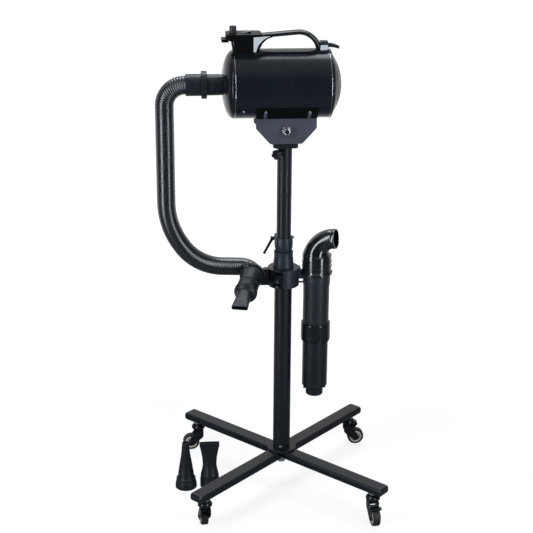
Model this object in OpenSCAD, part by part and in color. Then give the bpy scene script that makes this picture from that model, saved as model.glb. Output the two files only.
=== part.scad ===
// Pet dryer on a height-adjustable stand with four casters.
// Origin on the mast axis at the floor, +Z up, the dryer's air path along X.

/* [Foot] */
// Distance from the mast axis to the end of a foot bar's cap
foot_reach = 330; // [290:5:380]
// Width of a foot bar
bar_w = 40; // [36:1:46]
// Height of a foot bar
bar_h = 20; // [19:1:26]
// Wall of a foot bar
bar_wall = 1.5; // [1.2:0.1:2]
// Corner radius of a foot bar
bar_corner = 6; // [4:0.5:8]
// Length of an end cap outside its bar
cap_end = 8; // [6:1:12]
// Length of an end cap's plug inside its bar
cap_plug = 14; // [8:1:16]
// Distance from the end of a foot bar's cap to the caster stem
caster_inset = 34; // [34:1:60]
// Diameter of the flange on the crossing
flange_d = 75; // [60:1:90]
// Thickness of the flange on the crossing
flange_t = 5; // [4:0.5:8]
// Height of the stub inside the mast
stub_h = 25; // [20:1:40]
// Diameter of the bolt through the crossing
center_bolt_d = 12; // [10:1:14]

/* [Casters] */
// Wheel diameter
wheel_d = 45; // [40:1:60]
// Tyre width
tyre_w = 18; // [14:1:24]
// Distance from the swivel axis to the axle
caster_trail = 20; // [17:0.5:24]
// Sheet thickness of the fork
fork_t = 2.5; // [2:0.1:3]
// Axle diameter
axle_d = 6; // [5:0.5:8]
// Kingpin diameter
stem_d = 8; // [6:0.5:10]
// Diameter of the swivel bearing cap
bearing_d = 36; // [32:1:40]
// Height of the swivel bearing cap
bearing_h = 18.5; // [16:0.5:22]
// Room between tyre and fork crown
crown_gap = 10; // [9:0.5:14]
// Length of a brake pedal from its pin
pedal_l = 24; // [22:1:30]
// Width of a brake pedal's tread
pedal_w = 30; // [24:1:36]

/* [Mast] */
// Outer diameter of the lower tube
lower_d = 44; // [42:1:48]
// Wall of the lower tube
lower_wall = 2; // [1.5:0.1:2.2]
// Length of the lower tube
lower_len = 530; // [450:5:600]
// Outer diameter of the upper tube
upper_d = 36; // [32:0.5:38]
// Wall of the upper tube
upper_wall = 1.5; // [1.2:0.1:2]
// Length of the upper tube
upper_len = 487.7; // [450:0.1:550]
// Length of upper tube inside the lower one
mast_overlap = 210; // [180:5:240]
// Diameter of the clamp sleeve at its foot
sleeve_d = 52.3; // [50:0.1:58]
// Diameter of the clamp sleeve at its neck
neck_d = 47.4; // [47:0.1:50]
// Length of the sleeve on the lower tube
sleeve_grip = 32; // [24:1:40]
// Largest diameter of the ball collar
collar_d = 46; // [44:0.5:52]
// Height of the ball collar
collar_h = 36; // [30:1:44]
// Length of the lock lever from its pin
lever_l = 41; // [34:1:60]

/* [Accessory clamp] */
// Diameter of the clamp ring
clamp_d = 79; // [70:1:90]
// Height of the clamp ring
clamp_h = 47; // [40:1:56]
// Distance from the mast axis to the hand tube's axis
tube_x = 83.5; // [82:0.5:95]
// Wall of the ring that holds the hand tube
holder_wall = 1.7; // [1.4:0.1:3]
// Height of the ring that holds the hand tube
holder_h = 29.7; // [24:0.1:34]
// Width of the hose clip's band
clip_w = 9; // [7:0.5:12]
// Thickness of the hose clip's band
clip_t = 3; // [2:0.1:4]
// Opening of the hose clip, in degrees
clip_gap = 55; // [40:1:70]

/* [Hand tube] */
// Outer diameter of the wide tube
tube_d = 65.5; // [60:0.5:68]
// Wall of the wide and lower tubes
tube_wall = 2; // [1.5:0.1:3]
// Wide tube above its ring
tube_rise = 40; // [30:1:46]
// Distance that the hand tube lifts before its coupling meets the ring
lift_room = 100; // [60:1:120]
// Wall of the coupling ring over the wide tube
coupling_wall = 4.3; // [3.5:0.1:7]
// Height of the coupling ring
coupling_h = 49; // [40:1:60]
// Outer diameter of the lower tube
drop_d = 64; // [60:0.5:68]
// Length of the lower tube from the joint to its shoulder
drop_len = 147; // [100:1:180]
// Wall of the elbow's skirt over the wide tube
skirt_wall = 4; // [3:0.1:5]
// Width of the elbow's flange round its skirt
elbow_flange_w = 3; // [2:0.1:5]
// Height of the elbow's skirt, flange included
skirt_h = 48.8; // [47:0.1:60]
// Bend radius of the elbow's centre line
bend_r = 45; // [42:1:60]
// Angle of the elbow's bend
bend_angle = 83; // [60:1:90]
// Outer diameter of the elbow's mouth
mouth_d = 50; // [47:0.5:54]
// Direction that the elbow's mouth points at rest
elbow_turn = -24.5; // [-180:0.5:180]

/* [Head] */
// Width of the head plate
plate_w = 60; // [50:1:70]
// Thickness of the head plate
plate_t = 12; // [8:1:16]
// Height of the tilt pivot above the head plate's underside
pivot_up = 45; // [38:1:52]
// Diameter of the tilt pivot bolt
pivot_d = 10; // [8:1:14]
// Length of the head's spigot in the mast
spigot_l = 61; // [40:1:80]
// Thickness of the head's fork plates
fork_plate_t = 4; // [3:0.5:6]
// Diameter of the pan knob
pan_knob_d = 23; // [20:1:26]

/* [Bracket] */
// Width of the bracket along the dryer
yoke_w = 145; // [125:1:170]
// Width of a yoke plate at its foot
yoke_foot_w = 77; // [60:1:84]
// Thickness of the yoke plates and the saddle band
yoke_t = 3; // [2:0.1:4]
// Height of the yoke plate's upright edges' lower end over the pivot
yoke_corner_up = 7; // [4:1:18]
// Height of the saddle band's underside over the pivot
saddle_up = 21.9; // [20:0.1:30]
// Angle that the saddle band spans round the shell
saddle_arc = 114; // [110:1:140]
// Distance from the bracket's middle to a slot
slot_x = 51.5; // [40:0.5:60]
// Width of a slot
slot_w = 7.5; // [6.5:0.1:9]
// Length of a slot
slot_l = 36; // [24:0.5:38]

/* [Dryer] */
// Outer diameter of the shell
shell_d = 160; // [150:1:175]
// Wall of the shell
shell_wall = 1.5; // [1:0.1:2]
// Length of the shell
shell_len = 227; // [220:1:255]
// Distance from the tilt pivot to the shell's front seam
shell_front = 124.5; // [118:0.5:130]
// Depth of the domed front cowl
cowl_depth = 27.5; // [22:0.5:36]
// Width of the rear ring's face
rear_ring_w = 10; // [8:0.5:12]
// Depth of the domed grille
grille_depth = 25; // [14:0.5:28]
// Width of the grille's plain rim
grille_rim = 15; // [10:0.5:20]
// Size of a grille hole across corners
grille_hole = 7; // [5:0.1:8]
// Distance between grille holes
grille_pitch = 9; // [8.5:0.1:12]
// Motor diameter
motor_d = 104; // [90:1:116]
// Motor length
motor_len = 80; // [60:1:90]
// Impeller diameter
impeller_d = 130; // [110:1:140]

/* [Air outlet] */
// Outer diameter of every air spout
spout_d = 44; // [42:0.5:45]
// Wall of an air spout
spout_wall = 2.5; // [2:0.1:3]
// Length of an air spout
spout_l = 24; // [20:1:28]
// Diameter of the coupler and the collars that meet it
coupler_d = 50; // [49:0.5:54]
// Length of the coupler's plain part
coupler_l = 31; // [29:1:40]
// Diameter of the coupler's swivel ring
swivel_d = 65.6; // [60:0.2:70]
// Width of the coupler's swivel ring
swivel_w = 13; // [9:0.5:16]
// Diameter of the coupler's hose cuff
cuff_d = 52; // [50:0.5:56]
// Length of the coupler's hose cuff
cuff_l = 37; // [32:1:44]

/* [Handle] */
// Width of the grip
grip_w = 27; // [22:1:32]
// Thickness of the grip
grip_t = 12; // [9:0.5:14]
// Thickness of the grip at its rear foot
grip_foot_t = 15; // [12:0.5:17]
// Height of the grip's centre over the shell at its front
grip_up = 35.5; // [34:0.1:44]
// Thickness of the pad under the handle
pad_t = 3.4; // [2.5:0.1:5]
// Radius of the bend at the rear of the grip
grip_bend_r = 49.5; // [44:0.5:52]

/* [Controls] */
// Length of the control panel along the dryer
panel_l = 84; // [80:1:95]
// Width of the control panel
panel_w = 60; // [50:1:70]
// Height of the control panel's top over the shell
panel_up = 42; // [38:0.5:48]
// Diameter of the speed knob
speed_knob_d = 17; // [14:0.5:22]
// Height of the speed knob
speed_knob_h = 16; // [10:0.5:20]
// Length of the power rocker
rocker_l = 22; // [18:0.5:24]
// Width of the power rocker
rocker_w = 14; // [10:0.5:18]

/* [Hose] */
// Outer diameter of the air hose
hose_d = 45; // [40:0.5:46]
// Distance between the hose's ribs
hose_pitch = 5; // [4.5:0.1:8]
// Depth of the hose's ribs
rib_depth = 2; // [1:0.1:2.5]
// Wall of the hose under its ribs
hose_wall = 1.5; // [1.2:0.1:2]

/* [Nozzles] */
// Length of the fitted flat nozzle
nozzle_l = 98; // [88:1:130]
// Width of the fitted nozzle's mouth
nozzle_w = 39; // [34:1:50]
// Height of the cone nozzle
cone_h = 128; // [110:1:150]
// Diameter of the cone nozzle's foot
cone_d = 56; // [52:1:64]
// Diameter of the cone nozzle's mouth
cone_mouth_d = 17; // [12:1:24]
// Height of the spare flat nozzle
spare_h = 125; // [110:1:140]
// Width of the spare flat nozzle's mouth
spare_w = 52; // [46:1:64]

/* [Fits] */
// Radial clearance of a turning fit
run_fit = 0.05; // [0.02:0.01:0.1]
// Radial clearance of a sliding fit
slide_fit = 0.08; // [0.02:0.01:0.1]
// Clearance between fixed pieces
seat_gap = 0.1; // [0.05:0.01:0.2]
// Clearance between pieces that move past each other
body_gap = 0.3; // [0.2:0.05:0.5]
// Radial clearance round the hose's ends
hose_fit = 0.5; // [0.4:0.1:0.8]

/* [Hidden] */
$fn = 48;
cut = 1; // how far a cutter runs past the face it cuts

black = [0.07, 0.07, 0.08];
gloss = [0.04, 0.04, 0.05];
slate = [0.24, 0.25, 0.28];
zinc = [0.78, 0.79, 0.8];
cream = [0.86, 0.84, 0.78];
foam = [0.2, 0.2, 0.21];

// Casters, from the floor up; local +x is the way a caster trails
wheel_r = wheel_d / 2;
cheek_y = tyre_w / 2 + 1.5;
crown_z = wheel_d + crown_gap;
bearing_z = crown_z + fork_t;
thrust_z = bearing_z + bearing_h + body_gap;
thrust_h = 8.7;
crown_front = -14;
crown_rear = 12;
stem_r = stem_d / 2;
boss_r = 3.8;
pedal_x = 8;
pedal_pin_r = 2;
pedal_z = wheel_r + sqrt(pow(wheel_r + boss_r + 0.4, 2) - pow(caster_trail - pedal_x, 2));
pedal_raised = 50;
caster_r = foot_reach - caster_inset;
// Azimuth of each caster on the cross and the way it trails
corner_fr = [-45, -82];
corner_rr = [45, 0];
corner_rl = [135, 180];
corner_fl = [225, 97];

// Foot
bar_z = thrust_z + thrust_h;
bar_mid_z = bar_z + bar_h / 2;
bar_top_z = bar_z + bar_h;
hub_z = bar_top_z + flange_t;
tube_end = foot_reach - cap_end;
foot_angles = [-45, 45, 135, 225];
screw_angles = [-100, 80];
screw_up = 7;

// Mast
lower_r = lower_d / 2;
lower_bore = lower_r - lower_wall;
upper_r = upper_d / 2;
upper_bore = upper_r - upper_wall;
lower_top = hub_z + lower_len;
sleeve_z = lower_top - sleeve_grip;
sleeve_top = lower_top + 10;
collar_z = sleeve_top + 1;
upper_z = lower_top - mast_overlap;
upper_top = upper_z + upper_len;
bush_h = 30;
lug_x = 20;
lug_y = collar_d / 2 + 1;
lug_z = collar_z + 25;
clamp_bolt_r = 3;
lever_x = -lug_x - 7;
lever_pin_r = 2.5;
lever_y = lug_y - 7.1;
lever_t = 3;
lever_lean = 28;

// Accessory clamp
clamp_r = clamp_d / 2;
clamp_top = sleeve_z;
clamp_z = clamp_top - clamp_h;
seam_turn = -6;
clamp_screw_y = 31;
clamp_screw_r = 2;
clamp_screw_z = [clamp_top - 8, clamp_z + 11];
pocket_l = 24;
pocket_h = 6;
// Middle of the hose clip and the way the hose end points
clip_pos = [-79, -10, clamp_z + 28];
clip_yaw = 15;
clip_pitch = 8;
clip_r = 28.6;
clip_open_at = 105;
hose_end_r = clip_r - seat_gap;
end_back = -12;
end_stop = 30.3;
end_cone = 48;
end_front = 64;

// Hand tube
tube_r = tube_d / 2;
holder_top = clamp_z + 28.7;
holder_z = holder_top - holder_h;
holder_r = tube_r + slide_fit + holder_wall;
coupling_top = holder_z - lift_room;
coupling_z = coupling_top - coupling_h;
joint_z = coupling_z + 19;
tube_top = holder_top + tube_rise;
drop_r = drop_d / 2;
shoulder_z = joint_z - drop_len;
spout_r = spout_d / 2;
spout_bore = spout_r - spout_wall;
spout_z = shoulder_z - spout_l;
spout_pin_z = spout_z + 17;
spout_pin_span = 56.6;
elbow_z = holder_top + body_gap;
elbow_r = tube_r + skirt_wall;
coupling_r = tube_r + coupling_wall;
mouth_l = 9;

// Head
plate_z = upper_top + body_gap;
pivot_z = plate_z + pivot_up;
pivot_r = pivot_d / 2;
fork_y = plate_w / 2 - body_gap;
yoke_y = plate_w / 2;
knob_angle = 232.5;
knob_z = upper_top - 14.5;
knob_screw_r = 4;
knob_boss_r = 25;

// Dryer; its axis lies along X
shell_r = shell_d / 2;
shell_bore = shell_r - shell_wall;
saddle_r = shell_r + seat_gap;
axis_z = pivot_z + saddle_up + yoke_t + saddle_r;
shell_x0 = -shell_front;
shell_x1 = shell_x0 + shell_len;
slot_tilt = 40;
lip_t = 1.9;
cowl_wall = 2;
outlet_x = shell_x0 - cowl_depth - 3.5;
coupler_x1 = outlet_x - seat_gap;
coupler_x0 = coupler_x1 - coupler_l;
swivel_x0 = coupler_x0 - swivel_w;
cuff_x0 = swivel_x0 - cuff_l;
hose_grip = 45.3;
grille_r = shell_r - rear_ring_w;
grille_x = shell_x1 + 4.6;
grille_wall = 1.5;
shaft_r = 4;
filter_t = 8;
filter_x = shell_x1 - 15;
impeller_w = 14;
impeller_x = filter_x - 19 - impeller_w;
motor_gap = 16; // from the motor to the impeller
motor_x = impeller_x - motor_gap - motor_len;
shaft_l = motor_gap + 36; // from the impeller into the motor
pad_x1 = shell_x1 - 3;
neck_x0 = shell_x0 - 4;
neck_x1 = shell_x0 + 46;
panel_x0 = shell_x0 - 17;
panel_x1 = panel_x0 + panel_l;
top_z = axis_z + shell_r;
panel_z = top_z + panel_up;
knob_x = shell_x0;
rocker_x = shell_x0 + 31;
rocker_tilt = 8;
rocker_pin_r = 1.5;
rocker_pin_z = panel_z - 3;
grip_bend_at = [shell_x1 - 73, top_z - 7];
gland_x0 = shell_x1 - 24.5;
gland_x1 = shell_x1 - 3.7;

// The hose's route: a rounded line through these corners, bent to these radii
hose_route = [[-191.5, 0, 1068], [-287, 0, 1068], [-287, 0, 722], [-214, 10, 612],
    [-66.4, 36.9, 595.8], [-86.7, -38.7, 584.8]];
hose_bends = [49, 200, 140, 26];
hose_sides = 8;
hose_bore_step = 2; // ribs from one ring of the bore to the next

// Where the loose nozzles stand
cone_pos = [-250, 0, 0];
spare_pos = [-188, 0, 0];

// --- Shapes ---

function unit(v) = v / norm(v);

// Points of an arc in a plane, from angle a to angle b in n steps
function arc(c, r, a, b, n = 12) =
    [for (i = [0 : n]) let (t = a + (b - a) * i / n) c + r * [cos(t), sin(t)]];

// Outline drawn tight round two circles
function pill(p, rp, q, rq, n = 12) =
    let (d = q - p, a = atan2(d.y, d.x), b = acos((rp - rq) / norm(d)))
    concat(arc(p, rp, a + b, a + 360 - b, n), arc(q, rq, a - b, a + b, n));

// Ring of points about p, with half-axes u and v
function ring(p, u, v, sides) =
    [for (j = [0 : sides - 1]) let (t = 360 * j / sides) p + cos(t) * u + sin(t) * v];

// Cross-section between an ellipse (power 2) and a rectangle, level at height z
function oval(a, b, power, z, sides = 24) = [for (j = [0 : sides - 1])
    let (c = cos(360 * j / sides), s = sin(360 * j / sides))
    [a * sign(c) * pow(abs(c), 2 / power), b * sign(s) * pow(abs(s), 2 / power), z]];

// Triangles of a skin from ring to ring, from point number first on
function skin_faces(rings, n, first, outward) = [for (i = [0 : rings - 2]) for (j = [0 : n - 1])
    let (a = first + i * n + j, b = first + i * n + (j + 1) % n)
    each outward ? [[a, a + n, b + n], [a, b + n, b]] : [[a, b + n, a + n], [a, b, b + n]]];

// Solid between rings that run counterclockwise about the way they are listed
module skin(rings) {
    n = len(rings[0]);
    last = (len(rings) - 1) * n;
    ends = [for (j = [1 : n - 2]) each [[0, j, j + 1], [last, last + j + 1, last + j]]];
    polyhedron([for (r = rings) each r], concat(skin_faces(len(rings), n, 0, true), ends));
}

// Tube between outer rings and inner rings, open at both ends
module skin_tube(outer, inner) {
    n = len(outer[0]);
    first = len(outer) * n;
    far = first - n;
    far_in = first + (len(inner) - 1) * n;
    ends = [for (j = [0 : n - 1]) let (k = (j + 1) % n)
        each [[j, k, first + j], [k, first + k, first + j],
              [far + j, far_in + j, far + k], [far + k, far_in + j, far_in + k]]];
    polyhedron([for (s = [outer, inner]) for (r = s) each r],
        concat(skin_faces(len(outer), n, 0, true), skin_faces(len(inner), n, first, false), ends));
}

module tube(r_out, r_in, h) {
    difference() {
        cylinder(r = r_out, h = h);
        translate([0, 0, -cut]) cylinder(r = r_in, h = h + 2 * cut);
    }
}

module rounded_rect(w, h, r) {
    square([w - 2 * r, h], center = true);
    square([w, h - 2 * r], center = true);
    for (x = [r - w / 2, w / 2 - r], y = [r - h / 2, h / 2 - r]) translate([x, y]) circle(r);
}

// Oblong with round ends along y, centred
module oblong(w, l, h) {
    linear_extrude(h) {
        square([w, l - w], center = true);
        for (y = [-1, 1]) translate([0, y * (l - w) / 2]) circle(w / 2);
    }
}

// Hexagon head or nut of width af across its flats
module hex(af, h) cylinder(r = af / sqrt(3), h = h, $fn = 6);

// Local z runs along +X, on the dryer's axis
module at_axis(x = 0) translate([x, 0, axis_z]) rotate([0, 90, 0]) children();

// Local z runs along -Y
module facing(x, y, z) translate([x, y, z]) rotate([90, 0, 0]) children();

// Local xy is the XZ plane, extruded to both sides of y = 0
module side_profile(points, w)
    translate([0, w / 2, 0]) rotate([90, 0, 0]) linear_extrude(w) polygon(points);

// --- Foot ---

// Foot bar from u0 to u1 along local x
module bar(u0, u1) {
    translate([u0, 0, bar_mid_z]) rotate([90, 0, 90]) linear_extrude(u1 - u0) difference() {
        rounded_rect(bar_w, bar_h, bar_corner);
        rounded_rect(bar_w - 2 * bar_wall, bar_h - 2 * bar_wall, bar_corner - bar_wall);
    }
}

module stem_hole(u) {
    translate([u, 0, bar_z - cut]) cylinder(r = stem_r + seat_gap, h = bar_wall + 2 * cut);
}

module long_bar() {
    color(black) rotate([0, 0, 45]) difference() {
        bar(-tube_end, tube_end);
        for (u = [-caster_r, caster_r]) stem_hole(u);
        translate([0, 0, bar_z - cut]) cylinder(r = center_bolt_d / 2 + seat_gap, h = bar_h + 2 * cut);
    }
}

module short_bars() {
    color(black) for (a = [135, 315]) rotate([0, 0, a]) difference() {
        bar(bar_w / 2 + seat_gap, tube_end);
        stem_hole(caster_r);
    }
}

module bar_end_caps() {
    inner_w = bar_w - 2 * bar_wall - 2 * seat_gap;
    inner_h = bar_h - 2 * bar_wall - 2 * seat_gap;
    inner_r = bar_corner - bar_wall - seat_gap;
    plug_wall = 2;
    dome = 3;
    color(gloss) for (a = foot_angles) rotate([0, 0, a])
        translate([tube_end, 0, bar_mid_z]) rotate([90, 0, 90]) {
            linear_extrude(cap_end - dome) rounded_rect(bar_w, bar_h, bar_corner);
            hull() {
                translate([0, 0, cap_end - dome - 0.5]) linear_extrude(0.5)
                    rounded_rect(bar_w, bar_h, bar_corner, $fn = 32);
                linear_extrude(cap_end)
                    rounded_rect(bar_w - 2 * dome, bar_h - 2 * dome, bar_corner - 1, $fn = 32);
            }
            translate([0, 0, -cap_plug]) linear_extrude(cap_plug + 0.5) difference() {
                rounded_rect(inner_w, inner_h, inner_r);
                rounded_rect(inner_w - 2 * plug_wall, inner_h - 2 * plug_wall, inner_r - plug_wall / 2);
            }
        }
}

module hub_flange() {
    stub_r = lower_bore - seat_gap;
    bore = center_bolt_d / 2 + seat_gap;
    color(black) difference() {
        rotate_extrude() polygon([[bore, bar_top_z], [flange_d / 2, bar_top_z], [flange_d / 2, hub_z - 1],
            [flange_d / 2 - 1, hub_z], [stub_r, hub_z], [stub_r, hub_z + stub_h], [bore, hub_z + stub_h]]);
        for (a = screw_angles) rotate([0, 0, a]) translate([stub_r - 8, 0, hub_z + screw_up])
            rotate([0, 90, 0]) cylinder(r = 2 + seat_gap, h = 10);
    }
}

module centre_bolt() {
    nut_h = 10;
    color(zinc) {
        translate([0, 0, bar_z - 10]) cylinder(r = 13, h = 10);
        translate([0, 0, bar_z - 18]) hex(19, 8.5);
        translate([0, 0, bar_z - 10]) cylinder(d = center_bolt_d, h = hub_z + stub_h + nut_h + 12 - bar_z);
        translate([0, 0, hub_z + stub_h]) hex(center_bolt_d + 7, nut_h);
    }
}

module base_screws() {
    color(gloss) for (a = screw_angles) rotate([0, 0, a])
        translate([0, 0, hub_z + screw_up]) rotate([0, 90, 0]) {
            translate([0, 0, lower_bore - 7]) cylinder(r = 2, h = lower_wall + 7.5);
            translate([0, 0, lower_r + seat_gap]) cylinder(r1 = 4, r2 = 3, h = 2.2);
        }
}

// --- Casters ---

module at_caster(corner) {
    rotate([0, 0, corner[0]]) translate([caster_r, 0, 0]) rotate([0, 0, corner[1] - corner[0]]) children();
}

module caster_stems() {
    thrust_r = bearing_d / 2 - 6;
    color(zinc) for (c = [corner_fr, corner_rr, corner_rl, corner_fl]) at_caster(c) {
        rotate_extrude() polygon([[0, crown_z - body_gap - 3], [stem_r + 2.5, crown_z - body_gap - 3],
            [stem_r + 2.5, crown_z - body_gap], [stem_r, crown_z - body_gap], [stem_r, thrust_z],
            [thrust_r - 2, thrust_z], [thrust_r, thrust_z + 2.7], [thrust_r, bar_z], [stem_r, bar_z],
            [stem_r, bar_z + bar_wall + 9.5], [0, bar_z + bar_wall + 9.5]]);
        translate([0, 0, bar_z + bar_wall]) hex(stem_d + 5, 6.5);
    }
}

module caster_fork(corner) {
    bore = stem_r + run_fit;
    rb = bearing_d / 2;
    axle_head = 1.8;
    color(gloss) at_caster(corner) difference() {
        union() {
            for (y = [-cheek_y, cheek_y + fork_t])
                translate([0, y, 0]) rotate([90, 0, 0]) linear_extrude(fork_t) {
                    polygon(pill([crown_front + 13, bearing_z - 12], 13, [caster_trail, wheel_r], 9));
                    translate([crown_front, bearing_z - 12]) square([crown_rear - crown_front, 12]);
                }
            translate([crown_front, -cheek_y - fork_t, crown_z])
                cube([crown_rear - crown_front, 2 * (cheek_y + fork_t), fork_t]);
            translate([0, 0, bearing_z]) rotate_extrude() polygon([[bore, -0.5], [rb - 8, -0.5],
                [rb - 8, 0], [rb - 5, 1], [rb, bearing_h - 11.5], [rb, bearing_h - 6.5],
                [rb - 3, bearing_h - 2.5],
                [rb - 6, bearing_h], [bore, bearing_h]]);
            for (side = [-1, 1]) translate([caster_trail, side * (cheek_y + fork_t - 0.2), wheel_r])
                rotate([-90 * side, 0, 0])
                    cylinder(r1 = axle_d / 2 + 2.5, r2 = axle_d / 2 + 1, h = axle_head);
            facing(caster_trail, cheek_y + fork_t, wheel_r)
                cylinder(d = axle_d, h = 2 * (cheek_y + fork_t));
        }
        translate([0, 0, crown_z - cut]) cylinder(r = bore, h = fork_t + bearing_h + 2 * cut);
        facing(pedal_x, cheek_y + fork_t + cut, pedal_z)
            cylinder(r = pedal_pin_r + run_fit, h = 2 * (cheek_y + fork_t + cut));
    }
}

module caster_wheel(corner) {
    bore = axle_d / 2 + run_fit;
    hub_y = cheek_y - 0.5;
    rim_r = wheel_r - 5.5;
    half = tyre_w / 2;
    at_caster(corner) facing(caster_trail, 0, wheel_r) {
        color(cream) difference() {
            rotate_extrude() polygon([[bore, -hub_y], [bore + 4, -hub_y], [bore + 5, -3], [rim_r - 4, -3],
                [rim_r - 3, 1 - half], [rim_r, 1 - half], [rim_r, half - 1], [rim_r - 3, half - 1],
                [rim_r - 4, 3], [bore + 5, 3], [bore + 4, hub_y], [bore, hub_y]]);
            for (a = [0 : 72 : 359]) rotate([0, 0, a]) translate([(bore + rim_r) / 2 + 0.5, 0, -half])
                cylinder(r = 1.8, h = tyre_w);
        }
        color(black) rotate_extrude() polygon(concat([[rim_r + seat_gap, half], [rim_r + seat_gap, -half]],
            arc([wheel_r - 3, 3 - half], 3, -90, 0, 6), arc([wheel_r - 3, half - 3], 3, 0, 90, 6)));
    }
}

// Brake pedal, turned up about its pin by the angle lift
module brake_pedal(corner, lift) {
    tread_z = wheel_d + body_gap + 0.1 - pedal_z;
    narrow_y = cheek_y - 0.4;
    wide_x = 10.5;
    half = pedal_w / 2;
    reach = pedal_l - wide_x;
    color(gloss) at_caster(corner) translate([pedal_x, 0, pedal_z]) rotate([0, -lift, 0]) {
        translate([0, cheek_y + fork_t, 0]) rotate([90, 0, 0])
            cylinder(r = pedal_pin_r, h = 2 * (cheek_y + fork_t));
        translate([0, narrow_y, 0]) rotate([90, 0, 0]) cylinder(r = boss_r, h = 2 * narrow_y);
        translate([0, -narrow_y, tread_z]) cube([wide_x + 1, 2 * narrow_y, 3]);
        translate([wide_x, 0, tread_z]) linear_extrude(3) polygon([[0, -half], [reach - 4, -half],
            [reach, 4 - half], [reach, half - 4], [reach - 4, half], [0, half]]);
    }
}

// --- Mast ---

module lower_mast() {
    color(black) difference() {
        translate([0, 0, hub_z]) tube(lower_r, lower_bore, lower_len);
        for (a = screw_angles) rotate([0, 0, a]) translate([lower_bore - cut, 0, hub_z + screw_up])
            rotate([0, 90, 0]) cylinder(r = 2 + seat_gap, h = lower_wall + 2 * cut);
    }
}

module clamp_sleeve() {
    grip_r = lower_r + seat_gap;
    neck_bore = upper_r + slide_fit;
    shelf = lower_top + seat_gap;
    color(slate) rotate_extrude() polygon([[grip_r, sleeve_z], [sleeve_d / 2, sleeve_z],
        [sleeve_d / 2, sleeve_z + 4], [neck_d / 2, sleeve_z + 28], [neck_d / 2, sleeve_top - 4],
        [neck_d / 2 + 0.5, sleeve_top - 3], [neck_d / 2 + 0.5, sleeve_top - 1],
        [neck_d / 2 - 0.5, sleeve_top], [neck_bore, sleeve_top],
        [neck_bore, shelf], [grip_r, shelf]]);
}

// Split collar with a ball-shaped outside and a lug at the back
module ball_collar() {
    bore = upper_r + slide_fit;
    full = collar_d / 2;
    bulge_z = collar_h * 0.58;
    steps = 10;
    color(slate) difference() {
        union() {
            translate([0, 0, collar_z]) rotate_extrude() polygon(concat([[bore, collar_h], [bore, 0]],
                [for (i = [0 : steps]) let (z = collar_h * i / steps)
                    [full - 2.5 * pow((z - bulge_z) / bulge_z, 2), z]]));
            translate([-lug_x, upper_r, collar_z + 15]) cube([2 * lug_x, lug_y + 7 - upper_r, 20]);
        }
        translate([0, 0, collar_z - cut]) cylinder(r = bore, h = collar_h + 2 * cut);
        translate([-1, 0, collar_z - cut]) cube([2, lug_y + 7 + cut, collar_h + 2 * cut]);
        translate([-lug_x - cut, lug_y, lug_z]) rotate([0, 90, 0])
            cylinder(r = clamp_bolt_r + seat_gap, h = 2 * (lug_x + cut));
    }
}

module lever_bolt() {
    color(zinc) {
        translate([lever_x, lug_y, lug_z]) rotate([0, 90, 0])
            cylinder(r = clamp_bolt_r, h = lug_x + 8 - lever_x);
        translate([lug_x + seat_gap, lug_y, lug_z]) rotate([0, 90, 0]) hex(10, 5);
        translate([-lug_x - 2.2, lug_y, lug_z]) rotate([0, 90, 0]) cylinder(r = 6, h = 2.1);
        facing(lever_x, lug_y + 4, lug_z) cylinder(r = clamp_bolt_r + 0.8, h = 7.9);
        facing(lever_x, lug_y, lug_z) cylinder(r = lever_pin_r, h = lug_y - lever_y + lever_t / 2 + 1);
        facing(lever_x, lever_y - lever_t / 2 - body_gap, lug_z) cylinder(r1 = 4, r2 = 3.2, h = 1.4);
    }
}

module lock_lever() {
    tip = lever_l * [-sin(lever_lean), -cos(lever_lean)];
    color(gloss) facing(lever_x, lever_y + lever_t / 2, lug_z) difference() {
        linear_extrude(lever_t) {
            circle(4.8);
            polygon(pill([0, 0], 3.4, tip, 2.8));
            translate(tip) circle(3.4);
        }
        translate([0, 0, -cut]) cylinder(r = lever_pin_r + run_fit, h = lever_t + 2 * cut);
    }
}

module upper_mast() {
    color(black) difference() {
        union() {
            translate([0, 0, upper_z]) cylinder(r = upper_r, h = upper_len);
            rotate([0, 0, knob_angle]) translate([upper_r - 2, 0, knob_z]) rotate([0, 90, 0])
                cylinder(r = 7, h = knob_boss_r - upper_r + 2);
        }
        translate([0, 0, upper_z - cut]) cylinder(r = upper_bore, h = upper_len + 2 * cut);
        rotate([0, 0, knob_angle]) translate([upper_bore - cut, 0, knob_z]) rotate([0, 90, 0])
            cylinder(r = knob_screw_r + run_fit, h = knob_boss_r);
    }
}

module glide_bush() {
    color(foam) translate([0, 0, upper_z]) tube(lower_bore - run_fit, upper_r + seat_gap, bush_h);
}

// --- Accessory clamp ---

// Local +z runs the way the hose end points
module at_clip() translate(clip_pos) rotate([90 + clip_pitch, 0, -clip_yaw]) children();

// Half of the clamp ring, from the back seam to the front one or the other way
module clamp_half_ring(turn) {
    r0 = lower_r + seat_gap;
    rotate([0, 0, turn]) rotate_extrude(angle = 180) polygon([[r0, clamp_z], [clamp_r - 1.5, clamp_z],
        [clamp_r, clamp_z + 1.5], [clamp_r, clamp_top - 1], [clamp_r - 1, clamp_top], [r0, clamp_top]]);
}

// What is cut at the seam: the slit itself and the screws' holes
module seam_cuts() {
    rotate([0, 0, seam_turn]) {
        translate([-seat_gap, -clamp_r - 10, clamp_z - cut])
            cube([2 * seat_gap, 2 * clamp_r + 20, clamp_h + 2 * cut]);
        for (z = clamp_screw_z, y = [-clamp_screw_y, clamp_screw_y])
            translate([-8, y, z]) rotate([0, 90, 0]) cylinder(r = clamp_screw_r + seat_gap, h = 22);
    }
}

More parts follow.
